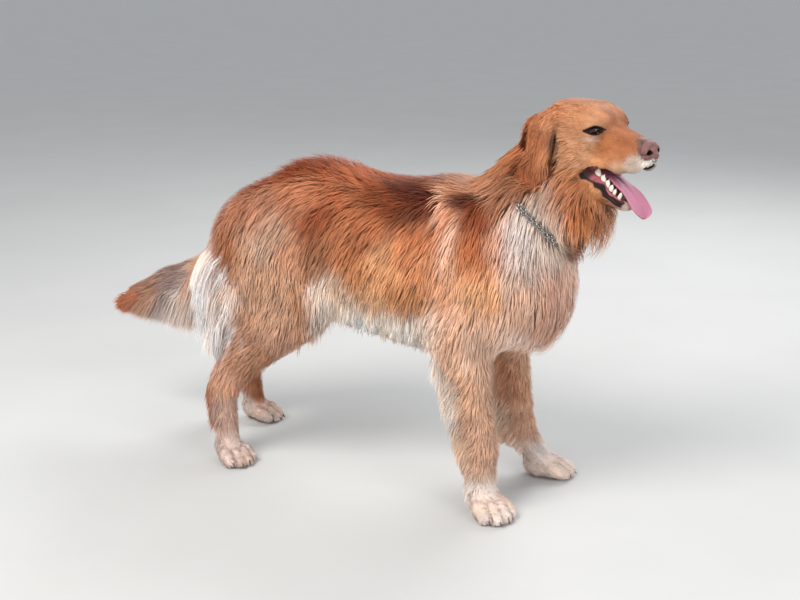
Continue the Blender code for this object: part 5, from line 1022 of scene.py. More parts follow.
# ---------------------------------------------------------------- where hair grows
QC = SV[SQ].mean(1)
A4 = SV[SQ]
AREA = np.linalg.norm(np.cross(A4[:, 2] - A4[:, 0], A4[:, 3] - A4[:, 1]), axis=1) / 2
QN = SN[SQ].mean(1)
QB = BARE[SQ].max(1)
QH = head_local(QC)
DEPTH = np.clip(-np.concatenate([envelope(c) for c in np.array_split(SV, 8)]), 0.0008, 0.060).astype(np.float32)
QD = DEPTH[SQ].mean(1)
HAIR_Q = hair(QC)                                   # length, width, disorder, wave, stand
earish = np.minimum(ears(QH, 1), ears(QH, -1)) < 0.0012
in_head = (QH[:, 0] > -0.125) & (QH[:, 2] > -0.142) & (np.abs(QH[:, 1]) < 0.095) & (np.minimum(np.minimum(face(QH), jaw(QH)), np.minimum(ears(QH, 1), ears(QH, -1))) < 0.004)
fine_part = (in_head & (QD < 0.0095)) | (in_head & earish)
on_leg = ~in_head & (QC[:, 2] < 0.30) & (np.abs(QC[:, 1]) > 0.045) & (QC[:, 0] > -0.42)
leg_part = on_leg & (QD < 0.0105)
feather_part = on_leg & (QC[:, 2] < 0.262) & ~leg_part
tail_part = ~leg_part & ~feather_part & (QC[:, 0] < -0.325) & (tail(QC) < 0.004)
body_part = ~fine_part & ~leg_part & ~tail_part & ~feather_part
grows = QB < 0.3
# nothing grows under the paws
grows &= ~((QC[:, 2] < 0.006) & (QN[:, 2] < -0.5))

def roots(where, count, cover=None):
    w = AREA * where * grows / (HAIR_Q[:, 0] * HAIR_Q[:, 1]) ** 0.75
    if cover is not None:
        w = w * cover
    cum = np.cumsum(w.astype(np.float64))
    pick = np.searchsorted(cum, rng.random(count) * cum[-1])
    a, b = rng.random((2, count, 1)).astype(np.float32)
    def at(V):
        c = V[SQ[pick]]
        return ((c[:, 0] * (1 - a) + c[:, 1] * a) * (1 - b) + (c[:, 3] * (1 - a) + c[:, 2] * a) * b)
    n = at(SN)
    return at(SV), n / np.linalg.norm(n, axis=1)[:, None], at(DEPTH[:, None])[:, 0]

outline = Room(envelope, (-0.66, -0.18, -0.02), (0.58, 0.18, 0.78), 0.008)
head_room = Room(fine_skin, (0.315, -0.155, 0.545), (0.575, 0.105, 0.765), 0.0026, True)
leg_room = Room(fine_skin, (-0.44, -0.165, -0.008), (0.365, 0.165, 0.32), 0.0042, True)
feather_room = Room(envelope, (-0.46, -0.165, -0.012), (0.38, 0.165, 0.33), 0.0048, True)

def short_paths(root, normal, depth, length, disorder, stand, K, room):
    """Hair that lies close: it keeps a height over the skin itself."""
    P, N = [root], [normal]
    n = len(root)
    step = (length / K)[:, None]
    drift = rng.normal(size=(n, 3)).astype(np.float32) * disorder[:, None] * 0.8 + ripple(root, 0.030, 8, 3) * (0.02 + disorder[:, None] * 0.22)
    out = normal
    for k in range(1, K + 1):
        s = k / K
        here = P[-1]
        f = lie(here) + drift
        f -= out * (f * out).sum(1)[:, None]
        f /= np.maximum(np.linalg.norm(f, axis=1), 1e-6)[:, None]
        d = f + out * (0.5 * max(0.0, 1 - 1.4 * s))
        d /= np.linalg.norm(d, axis=1)[:, None]
        Q = here + d * step
        e, g = room(Q)
        want = depth * min(1.0, s * 1.7) + stand * s * s
        Q = Q + g * np.clip(want - e, -step[:, 0], step[:, 0])[:, None]
        out = g
        Q[:, 2] = np.maximum(Q[:, 2], 0.0015)
        P.append(Q.astype(np.float32))
        N.append(g)
    return np.stack(P, 1), np.stack(N, 1)

# ---------------------------------------------------------------- place of each tuft on an unwrap of the skin
def unwrap(p):
    """Charts round trunk, head, legs, tail and ears, side by side on one sheet."""
    q = head_local(p)
    uv = np.zeros((len(p), 2), np.float32)
    t = (p[:, 0] + 0.42) / 0.92
    a = np.arctan2(p[:, 1], p[:, 2] - np.interp(p[:, 0], (-0.3, 0.25, 0.42), (0.45, 0.44, 0.56))) / (2 * pi) + 0.5
    uv[:, 0], uv[:, 1] = 0.02 + 0.56 * a, 0.02 + 0.52 * t
    head = (q[:, 0] > -0.125) & (p[:, 2] > 0.55) & (p[:, 0] > 0.34)
    a = np.arctan2(q[:, 1], q[:, 2] + 0.035) / (2 * pi) + 0.5
    uv[head] = np.stack([0.02 + 0.56 * a, 0.57 + 0.40 * np.clip((q[:, 0] + 0.125) / 0.235, 0, 1)], 1)[head]
    leg = (p[:, 2] < 0.27) & (np.abs(p[:, 1]) > 0.04) & (p[:, 0] > -0.42)
    for i, (n, J) in enumerate(LEGS.items()):
        mid = np.array(J["wrist"] if n.startswith("fore") else J["hock"])
        mine = leg & ((p[:, 1] > 0) == n.endswith("left")) & ((p[:, 0] > 0) == n.startswith("fore"))
        cx = np.interp(p[:, 2], (0, mid[2], 0.27), (mid[0] + 0.02, mid[0], mid[0] + (-0.01 if n.startswith("fore") else 0.10)))
        a = np.arctan2(p[:, 1] - mid[1], p[:, 0] - cx) / (2 * pi) + 0.5
        uv[mine] = np.stack([0.60 + 0.19 * a + 0.20 * (i % 2), 0.02 + 0.22 * p[:, 2] / 0.27 + 0.24 * (i // 2)], 1)[mine]
    tl = (p[:, 0] < -0.325) & (tail(p) < 0.02)
    a = np.arctan2(p[:, 1], p[:, 2] - np.interp(p[:, 0], (-0.59, -0.30), (0.279, 0.458))) / (2 * pi) + 0.5
    uv[tl] = np.stack([0.60 + 0.38 * (p[:, 0] + 0.62) / 0.30, 0.51 + 0.14 * a], 1)[tl]
    for s in (-1, 1):
        e = ears(q, s) < 0.004
        outer = q[:, 1] * s > np.interp(q[:, 2], [r[0] for r in EAR_ROWS[::-1]], [r[3] for r in EAR_ROWS[::-1]])
        uv[e] = np.stack([0.60 + 0.16 * (q[:, 0] + 0.14) / 0.09 + 0.19 * (s > 0), 0.67 + 0.14 * (q[:, 2] + 0.11) / 0.15 + 0.16 * outer], 1)[e]
    return np.clip(uv, 0.001, 0.996)

# ---------------------------------------------------------------- ribbons
def fur_material(name, rough, spec):
    n = Nodes(name)
    a = n.add("ShaderNodeVertexColor", layer_name="coat")
    noise = n.add("ShaderNodeTexNoise", Scale=900.0, Detail=2.0)
    n.link(n.coords(1.0), "Vector", noise, "Vector")
    ramp = n.add("ShaderNodeMapRange")
    for k, v in (("From Min", 0.3), ("From Max", 0.7), ("To Min", 0.86), ("To Max", 1.14)):
        ramp.inputs[k].default_value = v
    n.link(noise, "Fac", ramp, "Value")
    mul = n.add("ShaderNodeVectorMath", operation="SCALE")
    n.link(a, "Color", mul, 0)
    n.link(ramp, "Result", mul, "Scale")
    n.link(mul, "Vector", n.b, "Base Color")
    n.set(Roughness=rough, Specular_IOR_Level=spec, Sheen_Weight=0.04, Sheen_Roughness=0.4)
    return n.mat

LONG = fur_material("long_fur", 0.60, 0.20)
FINE = fur_material("fine_fur", 0.64, 0.18)
TAPER = {2: (0.9, 0.85), 3: (0.85, 1.0, 0.7), 4: (0.8, 1.0, 0.85, 0.55), 5: (0.75, 1.0, 0.95, 0.75, 0.48), 6: (0.7, 1.0, 1.0, 0.85, 0.65, 0.4)}
total_tris = [0]
def ribbons(name, P, N, width, twist, root_rgb, tip_rgb, uv, mat, most=190000):
    """Flat tapered ribbons along the paths P, in pieces that stay small enough."""
    n, K1, _ = P.shape
    K = K1 - 1
    T = np.empty_like(P)
    T[:, 1:-1] = P[:, 2:] - P[:, :-2]
    T[:, 0], T[:, -1] = P[:, 1] - P[:, 0], P[:, -1] - P[:, -2]
    T /= np.maximum(np.linalg.norm(T, axis=2), 1e-9)[..., None]
    S = np.cross(T, N)
    S /= np.maximum(np.linalg.norm(S, axis=2), 1e-9)[..., None]
    U = np.cross(S, T)
    a = twist[:, None, None] * np.linspace(1.0, 0.3, K1)[None, :, None]
    S = S * np.cos(a) + U * np.sin(a)
    w = (width[:, None] * np.array(TAPER[K])[None]) / 2
    L = P[:, :K] - S[:, :K] * w[..., None]
    R = P[:, :K] + S[:, :K] * w[..., None]
    V = np.empty((n, 2 * K + 1, 3), np.float32)
    V[:, 0:2 * K:2], V[:, 1:2 * K:2], V[:, -1] = L, R, P[:, -1]
    V[:, :, 2] = np.maximum(V[:, :, 2], 0.0006)
    s = np.linspace(0, 1, K1)[None, :, None]
    C = root_rgb[:, None] * (1 - s) + tip_rgb[:, None] * s
    CV = np.empty((n, 2 * K + 1, 3), np.float32)
    CV[:, 0:2 * K:2], CV[:, 1:2 * K:2], CV[:, -1] = C[:, :K], C[:, :K], C[:, -1]
    UVs = np.zeros((2 * K + 1, 2), np.float32)
    UVs[0:2 * K:2, 0], UVs[1:2 * K:2, 0], UVs[-1, 0] = 0.0, 0.003, 0.0015
    UVs[0:2 * K:2, 1] = UVs[1:2 * K:2, 1] = np.arange(K) / K * 0.003
    UVs[-1, 1] = 0.003
    quad = np.array([(2 * k, 2 * k + 1, 2 * k + 3, 2 * k + 2) for k in range(K - 1)], np.int32).reshape(-1, 4)
    tri = np.array([(2 * K - 2, 2 * K - 1, 2 * K)], np.int32)
    per = most // (2 * K - 1)
    parts = max(1, -(-n // per))
    made = []
    order = np.argsort(uv[:, 1], kind="stable") if parts > 1 else np.arange(n)
    for i, idx in enumerate(np.array_split(order, parts)):
        base = (np.arange(len(idx)) * (2 * K + 1)).astype(np.int32)
        q = (base[:, None, None] + quad[None]).reshape(-1, 4) if K > 1 else np.zeros((0, 4), np.int32)
        t = (base[:, None, None] + tri[None]).reshape(-1, 3)
        ob = build("%s_%d" % (name, i + 1), V[idx].reshape(-1, 3), [q, t], CV[idx].reshape(-1, 3))
        me = ob.data
        layer = me.uv_layers.new(name="OFBake")
        at = (uv[idx][:, None] + UVs[None]).reshape(-1, 2).astype(np.float32)
        loops = np.concatenate([q.ravel(), t.ravel()])
        layer.data.foreach_set("uv", at[loops].ravel())
        me.materials.append(mat)
        total_tris[0] += len(idx) * (2 * K - 1)
        made.append(ob)
    return made

def tint(p, spread, root_dark, tip_light, seed, fleck=0.03):
    """Colours of the tufts' roots and tips."""
    c = marking(p)
    n = len(p)
    bright = 1 + spread * rng.normal(size=(n, 1)).astype(np.float32) + 0.10 * ripple(p, 0.022, seed)[:, None] + 0.05 * ripple(p, 0.009, seed + 1)[:, None]
    warm = 1 + fleck * rng.normal(size=(n, 1)).astype(np.float32) + 0.04 * ripple(p, 0.05, seed + 2)[:, None]
    c = c * np.clip(bright, 0.5, 1.6) * np.concatenate([warm, np.ones_like(warm), 2 - warm], 1)
    root = c * root_dark * np.array((1.04, 0.97, 0.90), np.float32)
    return np.clip(root, 0.002, 1).astype(np.float32), np.clip(c * tip_light, 0.002, 1).astype(np.float32)

def long_coat(name, where, count, K, width_scale=1.0, length_scale=1.0, cover=None, group=0.05, pull=0.50, spread=0.08, loose=1.0, wavy=True, room=None, fill=0.0):
    room = room or outline
    thick = 1 + 1.6 * np.clip((QD - 0.018) / 0.02, 0, 2)
    root, normal, depth = roots(where, count, thick if cover is None else cover * thick)
    h = hair(root)
    u = rng.random(count).astype(np.float32)
    length = np.maximum(h[:, 0] * length_scale * (0.70 + 0.5 * rng.random(count).astype(np.float32)), depth * 1.7)
    shallow = np.minimum(depth, 0.006) * (1 - u)
    plume = glide(depth, 0.016, 0.028)
    under = shallow * (1 - plume) + plume * (1 - u ** 0.45) * depth * 0.85
    disorder = h[:, 2] * loose
    phase = (ripple(root, 0.06, 3) * 3.0).astype(np.float32)
    P = paths(root, normal, depth, length, disorder, h[:, 3] if wavy else None, h[:, 4] * (0.3 + u), under, phase, K, room)
    P, who = locks(P, root, group, np.clip(pull * (0.6 + 0.8 * rng.random(count)), 0, 0.95).astype(np.float32), 7)
    P[:, :, 2] = np.maximum(P[:, :, 2], 0.0015)
    N = np.stack([room(P[:, k])[1] for k in range(K + 1)], 1)
    N[:, 0] = normal
    a, b = tint(P[:, K // 2 + 1] * 0.5 + P[:, K - 1] * 0.5, spread, 0.92, 1.05, 11)
    shade = (1 + 0.05 * np.random.default_rng(5).normal(size=count))[who][:, None].astype(np.float32)      # each lock has its own tone
    width = h[:, 1] * width_scale * (0.45 + 0.95 * rng.random(count).astype(np.float32))
    return ribbons(name, P, N, width, rng.normal(size=count).astype(np.float32) * 0.22, a * shade, np.clip(b * shade, 0, 1), unwrap(root), LONG)

def short_coat(name, where, count, K, room, width_scale=1.0, cover=None, spread=0.08, group=0.10, pull=0.26, root_dark=0.84, tip_light=1.06):
    root, normal, depth = roots(where, count, cover)
    h = hair(root)
    length = h[:, 0] * (0.70 + 0.5 * rng.random(count).astype(np.float32))
    u = rng.random(count).astype(np.float32)
    high = np.clip(depth, 0.0006, 0.011) * (0.25 + 0.75 * u)
    high = np.minimum(high, length * 0.5)
    P, N = short_paths(root, normal, high, length, h[:, 2], h[:, 4] * u, K, room)
    P, who = locks(P, root, group, np.full(count, pull, np.float32), 9)
    a, b = tint(P[:, K // 2 + 1] * 0.5 + root * 0.5, spread, root_dark, tip_light, 21, 0.02)
    width = h[:, 1] * width_scale * (0.5 + 0.9 * rng.random(count).astype(np.float32))
    return ribbons(name, P, N, width, rng.normal(size=count).astype(np.float32) * 0.22, a, b, unwrap(root), FINE)

def unit(v):
    return v / np.maximum(np.linalg.norm(v, axis=-1, keepdims=True), 1e-9)

def free_coat(name, where, count, K, first, last, least, most, width, spread, slack, room, cover=None, group=0.06, pull=0.40, wave=0.0008, facing=(0, 1, 0), down_to=None):
    """Hair that hangs free of the body as far as the coat's outline. first and last give its direction at a root place."""
    root, normal, depth = roots(where, count, cover)
    d0, d1 = unit(first(root, normal)), unit(last(root, normal))
    way = unit(d0 * 0.35 + d1 * 0.65)
    reach = np.linspace(0.006, most, 16)
    E = np.stack([room(root + way * r)[0] for r in reach])
    loose = slack(root) if callable(slack) else slack
    over = (loose * rng.random(count) ** (0.8 if callable(slack) or slack > 0.02 else 2)).astype(np.float32)
    out = E > 0.001 + over[None] * 0.8
    length = np.where(out.any(0), reach[np.argmax(out, 0)], most) * (0.72 + 0.40 * rng.random(count))
    length = np.clip(length, least, most).astype(np.float32)
    if down_to is not None:
        length = np.clip((root[:, 2] - down_to - 0.02 * rng.random(count)) / 0.95, 0.02, length).astype(np.float32)
    stray = rng.normal(size=(count, 3)).astype(np.float32) * spread + ripple(root, 0.03, 15, 3) * spread * 0.8
    phase = (ripple(root, 0.04, 17) * 3).astype(np.float32)
    P = [root]
    step = (length / K)[:, None]
    for k in range(1, K + 1):
        t = min(1.0, (k - 0.5) / K * 1.25)
        d = unit(d0 * (1 - t) + d1 * t + stray * (0.4 + 0.6 * t))
        Q = P[-1] + d * step
        s = k / K
        bend = wave * (np.sin(phase + s * length / 0.034 * 2 * pi) - np.sin(phase + (s - 1 / K) * length / 0.034 * 2 * pi))
        Q = Q + unit(np.cross(d, np.array(facing, np.float32)[None])) * bend[:, None]
        e, g = room(Q)
        Q = Q - g * np.clip(e - over * s, 0, step[:, 0])[:, None]
        Q[:, 2] = np.maximum(Q[:, 2], 0.0015)
        P.append(Q.astype(np.float32))
    P = np.stack(P, 1)
    P, who = locks(P, root, group, np.clip(pull * (0.6 + 0.8 * rng.random(count)), 0, 0.95).astype(np.float32), 7)
    P[:, :, 2] = np.maximum(P[:, :, 2], 0.0015)
    side = np.array(facing, np.float32)[None] * np.where((P[:, K] @ np.array(facing, np.float32)) >= 0, 1, -1)[:, None]
    N = np.repeat(unit(side + 0.4 * rng.normal(size=(count, 3)).astype(np.float32))[:, None], K + 1, 1).astype(np.float32)
    a, b = tint(P[:, K // 2 + 1] * 0.75 + P[:, 1] * 0.25, 0.07, 0.82, 1.06, 11)
    shade = (1 + 0.06 * np.random.default_rng(5).normal(size=count))[who][:, None].astype(np.float32)
    w = width * (0.5 + 0.9 * rng.random(count).astype(np.float32))
    return ribbons(name, P, N, w, rng.normal(size=count).astype(np.float32) * 0.6, a * shade, np.clip(b * shade, 0, 1), unwrap(root), LONG)

def toward(*rows):
    """A direction that changes along x or z: rows are (value, direction), the first argument names the axis."""
    axis, rows = rows[0], rows[1:]
    v = np.array([r[0] for r in rows])
    D = np.array([r[1] for r in rows], np.float32)
    def at(root, normal):
        d = np.stack([np.interp(root[:, axis], v, D[:, i]) for i in range(3)], 1).astype(np.float32)
        d[:, 1] *= np.sign(root[:, 1])
        return d
    return at

away_from_mid = np.abs(QC[:, 1]) > 0.045
rear_leg = away_from_mid & (QN[:, 0] < -0.10) & ~in_head
fore_fringe = rear_leg & (QC[:, 0] > 0.12) & (QC[:, 0] < 0.30) & (QC[:, 2] > 0.055) & (QC[:, 2] < 0.335)
hock_fringe = rear_leg & (QC[:, 0] < -0.255) & (QC[:, 0] > -0.42) & (QC[:, 2] > 0.050) & (QC[:, 2] < 0.245)
breech_fringe = (QC[:, 0] < -0.235) & (QC[:, 0] > -0.36) & (QC[:, 2] > 0.215) & (QC[:, 2] < 0.445) & (QN[:, 0] < 0.05) & (tail(QC) > 0.004)
belly_fringe = (QC[:, 0] > -0.12) & (QC[:, 0] < 0.20) & (QN[:, 2] < -0.25) & (QC[:, 2] > 0.27) & (QC[:, 2] < 0.43)
plume = (QC[:, 0] < -0.345) & (tail(QC) < 0.004)
near_ear = np.minimum(ears(QH, 1), ears(QH, -1))
nape = (QC[:, 0] > 0.235) & (QC[:, 0] < 0.345) & (QC[:, 2] > 0.60) & ~fine_part & (QN[:, 0] < 0.35) & (near_ear > 0.005)
ear_end = earish & (QH[:, 2] < -0.060) & (QH[:, 2] > -0.102)
long_coat("coat_body", body_part, 71500, 5, width_scale=0.86, pull=0.30, spread=0.055)
long_coat("coat_tail", tail_part, 8000, 5, width_scale=0.85)
long_coat("coat_feather", feather_part, 4000, 4, room=feather_room, width_scale=0.85)
short_coat("coat_legs", leg_part, 28500, 3, leg_room, width_scale=0.85, pull=0.14, spread=0.06)
short_coat("coat_face", fine_part, 64000, 2, head_room)
low_half = 0.35 + 1.3 * glide(-QN[:, 2], -0.5, 0.6)
free_coat("coat_plume", plume, 13000, 5, toward(0, (-0.60, (-1, 0.05, -0.35)), (-0.45, (-0.9, 0.10, -0.45)), (-0.35, (-0.8, 0.10, -0.7))),
          toward(0, (-0.60, (-1, 0, -0.60)), (-0.50, (-0.8, 0, -0.90)), (-0.42, (-0.45, 0, -1)), (-0.35, (-0.25, 0, -1))), 0.040, 0.180, 0.0014, 0.09, lambda r: 0.026 + 0.080 * glide(r[:, 0], -0.52, -0.43), outline, cover=low_half, down_to=0.190)
free_coat("coat_forefringe", fore_fringe, 9000, 4, toward(2, (0.05, (-0.9, 0, -0.5)), (0.33, (-0.95, 0, -0.40))),
          toward(2, (0.05, (-0.35, 0, -1)), (0.33, (-0.10, 0, -1))), 0.030, 0.105, 0.0013, 0.10, 0.009, feather_room)
free_coat("coat_hockfringe", hock_fringe, 5000, 4, toward(2, (0.05, (-0.7, 0, -0.8)), (0.25, (-0.6, 0, -0.85))),
          toward(2, (0.05, (-0.35, 0, -1)), (0.25, (-0.30, 0, -1))), 0.018, 0.060, 0.0013, 0.10, 0.005, feather_room)
free_coat("coat_breeches", breech_fringe, 11000, 5, toward(2, (0.22, (-0.75, 0.15, -0.7)), (0.44, (-0.9, 0.2, -0.5))),
          toward(2, (0.22, (-0.12, 0, -1)), (0.44, (-0.18, 0.02, -1))), 0.055, 0.135, 0.0015, 0.09, 0.030, outline, down_to=0.196)
free_coat("coat_fringe", belly_fringe, 8000, 4, toward(0, (-0.12, (-0.15, 0.25, -0.9)), (0.2, (-0.35, 0.2, -0.9))),
          toward(0, (-0.12, (0.0, 0.03, -1)), (0.2, (-0.12, 0.02, -1))), 0.030, 0.078, 0.0014, 0.10, lambda r: 0.008 + 0.014 * (ripple(r, 0.02, 91) > 0.1), outline)
free_coat("coat_nape", nape, 5000, 4, lambda r, n: unit(n + np.array((-0.9, 0, -0.35), np.float32)),
          lambda r, n: unit(0.35 * n + np.array((-0.62, 0, -0.85), np.float32)), 0.045, 0.070, 0.0014, 0.12, 0.011, outline)
free_coat("coat_ears", ear_end, 2600, 3, lambda r, n: unit(0.5 * n + np.array((-0.10, 0, -0.95), np.float32)),
          lambda r, n: unit(0.08 * n + np.array((0.06, 0, -1), np.float32)), 0.024, 0.036, 0.0012, 0.10, 0.020, outline)
print("coat triangles", total_tris[0], "skin", len(SQ) * 2)

# ---------------------------------------------------------------- eyes
def tube_mesh(points, radius, sides=8, closed=False, flat=1.0, up=None):
    """A round tube along the points. radius is one number or one for each point."""
    P = np.asarray(points, float)
    n = len(P)
    r = np.full(n, radius) if np.isscalar(radius) else np.asarray(radius, float)
    T = np.roll(P, -1, 0) - np.roll(P, 1, 0) if closed else np.gradient(P, axis=0)
    T /= np.linalg.norm(T, axis=1)[:, None]
    ref = np.array((0, 0, 1.0)) if up is None else np.asarray(up, float)
    S = np.cross(T, ref)
    bad = np.linalg.norm(S, axis=1) < 0.1
    S[bad] = np.cross(T[bad], (1.0, 0.2, 0))
    S /= np.linalg.norm(S, axis=1)[:, None]
    U = np.cross(S, T)
    a = np.arange(sides) / sides * 2 * pi
    V = (P[:, None] + r[:, None, None] * (S[:, None] * np.cos(a)[None, :, None] + U[:, None] * (np.sin(a) * flat)[None, :, None])).reshape(-1, 3)
    F = []
    for i in range(n if closed else n - 1):
        j = (i + 1) % n
        for k in range(sides):
            m = (k + 1) % sides
            F.append((i * sides + k, i * sides + m, j * sides + m, j * sides + k))
    F = np.array(F, np.int32)
    if not closed:
        c0, c1 = len(V), len(V) + 1
        V = np.concatenate([V, P[:1], P[-1:]])
        caps = [(c0, (k + 1) % sides, k) for k in range(sides)] + [(c1, (n - 1) * sides + k, (n - 1) * sides + (k + 1) % sides) for k in range(sides)]
        return V, F, np.array(caps, np.int32)
    return V, F, np.zeros((0, 3), np.int32)

def joined(meshes):
    """Joins (verts, quads, tris) lists into one."""
    V, Q, T, base = [], [], [], 0
    for v, q, t in meshes:
        V.append(v); Q.append(q + base); T.append(t + base)
        base += len(v)
    return np.concatenate(V), np.concatenate(Q).astype(np.int32), np.concatenate(T).astype(np.int32)

def globe(rings, segs):
    """Unit sphere with its pole along +x, as (verts, quads, tris)."""
    t = np.linspace(0, pi, rings + 1)[1:-1]
    a = np.arange(segs) / segs * 2 * pi
    V = [np.stack([np.full(segs, cos(x)), sin(x) * np.cos(a), sin(x) * np.sin(a)], 1) for x in t]
    V = np.concatenate(V + [np.array([(1.0, 0, 0), (-1.0, 0, 0)])])
    Q = [(i * segs + k, (i + 1) * segs + k, (i + 1) * segs + (k + 1) % segs, i * segs + (k + 1) % segs) for i in range(rings - 2) for k in range(segs)]
    n = (rings - 1) * segs
    T = [(n, k, (k + 1) % segs) for k in range(segs)] + [(n + 1, (rings - 2) * segs + (k + 1) % segs, (rings - 2) * segs + k) for k in range(segs)]
    return V, np.array(Q, np.int32), np.array(T, np.int32)

def eye_material():
    n = Nodes("eye_wet")
    a = n.add("ShaderNodeVertexColor", layer_name="coat")
    noise = n.add("ShaderNodeTexNoise", Scale=900.0, Detail=3.0)
    n.link(n.coords(1.0), "Vector", noise, "Vector")
    m = n.mixed(None, None, (a, "Color"), (0.5, 0.5, 0.5), "MULTIPLY", 0.0)
    n.t.links.new(noise.outputs["Fac"], m.inputs[0])
    n.link(m, 2, n.b, "Base Color")
    n.set(Roughness=0.07, Specular_IOR_Level=0.5, Coat_Weight=0.2, Coat_Roughness=0.02)
    return n.mat
EYE_MAT = eye_material()
for s, node in ((-1, "eye_right"), (1, "eye_left")):
    V, Q, T = globe(40, 48)
    out, along, up = eye_axes(s)
    look = np.array((cos(EYE_A * 0.92), s * sin(EYE_A * 0.92), -0.02)); look /= np.linalg.norm(look)
    side = np.cross((0, 0, 1.0), look); side /= np.linalg.norm(side)
    top = np.cross(look, side)
    r = np.full(len(V), EYE_R)
    ang = np.degrees(np.arccos(np.clip(V[:, 0], -1, 1)))
    r += 0.0006 * np.clip(1 - (ang / 34) ** 2, 0, 1)                 # the cornea stands a little proud
    c = np.array((EYE_C[0], s * EYE_C[1], EYE_C[2]))
    q = c + r[:, None] * (V[:, :1] * look + V[:, 1:2] * side + V[:, 2:3] * top)
    white, iris, rim, pupil = linear((92, 70, 62)), linear((58, 30, 18)), linear((20, 12, 10)), linear((6, 5, 6))
    col = np.where(ang[:, None] < 17, pupil, np.where(ang[:, None] < 37, iris, np.where(ang[:, None] < 42, rim, white)))
    rays = 1 + 0.35 * np.sin(np.arctan2(V[:, 2], V[:, 1]) * 23 + 2 * np.sin(np.arctan2(V[:, 2], V[:, 1]) * 7))
    col = np.where((ang[:, None] >= 17) & (ang[:, None] < 37), col * rays[:, None], col)
    ob = build(node + "_ball", head_world(q), [Q, T], col.astype(np.float32))
    ob.data.materials.append(EYE_MAT)
    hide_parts(node)
    # dark rims of the lids
    t = np.linspace(0, 2 * pi, 65)[:-1]
    x = np.cos(t)
    a = LID_HALF_LENGTH * x
    u = np.where(np.sin(t) > 0, 1.05, -0.90) * LID_HALF_HEIGHT * np.clip(1 - np.abs(x) ** 1.7, 0, 1)
    w = c + a[:, None] * along + u[:, None] * up
    reach = np.linspace(0.002, 0.022, 81)
    rays_ = w[:, None] + reach[None, :, None] * out
    d0 = face_plain(rays_.reshape(-1, 3).astype(np.float32)).reshape(len(w), -1)
    first_out = np.array([reach[int(np.argmax(row > -0.0004))] for row in d0])
    for _ in range(2):
        first_out = (np.roll(first_out, 1) + 2 * first_out + np.roll(first_out, -1)) / 4
    w = w + first_out[:, None] * out
    V, F, _ = tube_mesh(head_world(w), 0.0010 + 0.0008 * np.abs(x) ** 6, 8, True, up=HEAD_R @ out)
    rim_ob = build(node + "_rim", V, F, np.tile(linear((30, 20, 19)), (len(V), 1)))
    rim_ob.data.materials.append(skin_ob.data.materials[1])

# ---------------------------------------------------------------- nose
V, Q = uniform(nose_field, head_world([(0.085, 0, -0.022)])[0] - 0.030, head_world([(0.085, 0, -0.022)])[0] + 0.030, 0.00085)
q = head_local(V)
m = mirror(q)
hole = 1 - glide(limb(m, (0.1020, 0.0105, -0.0230), (0.0800, 0.0130, -0.0235), 0.0044, 0.0026), 0.0001, 0.0012)
edge = glide(-q[:, 0], -0.089, -0.083)
col = linear((134, 94, 90)) * (1 - hole[:, None]) + linear((22, 14, 15)) * hole[:, None]
col = col * (1 - 0.55 * edge[:, None])
col = col * (1 + 0.10 * ripple(V, 0.006, 41)[:, None])
nose_ob = build("nose_leather", V, Q, col.astype(np.float32))
n = Nodes("nose_pebbled")
a = n.add("ShaderNodeVertexColor", layer_name="coat")
vor = n.add("ShaderNodeTexVoronoi", Scale=720.0)
vor.feature = "DISTANCE_TO_EDGE"
n.link(n.coords(1.0), "Vector", vor, "Vector")
ramp = n.add("ShaderNodeMapRange")
for k, v in (("From Min", 0.0), ("From Max", 0.25), ("To Min", 0.62), ("To Max", 1.06)):
    ramp.inputs[k].default_value = v
n.link(vor, "Distance", ramp, "Value")
mul = n.add("ShaderNodeVectorMath", operation="SCALE")
n.link(a, "Color", mul, 0)
n.link(ramp, "Result", mul, "Scale")
n.link(mul, "Vector", n.b, "Base Color")
n.set(Roughness=0.56, Specular_IOR_Level=0.20, Coat_Weight=0.03, Coat_Roughness=0.3)
n.bump(ramp, "Result", 0.55, 0.0006)
nose_ob.data.materials.append(n.mat)
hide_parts("nose")

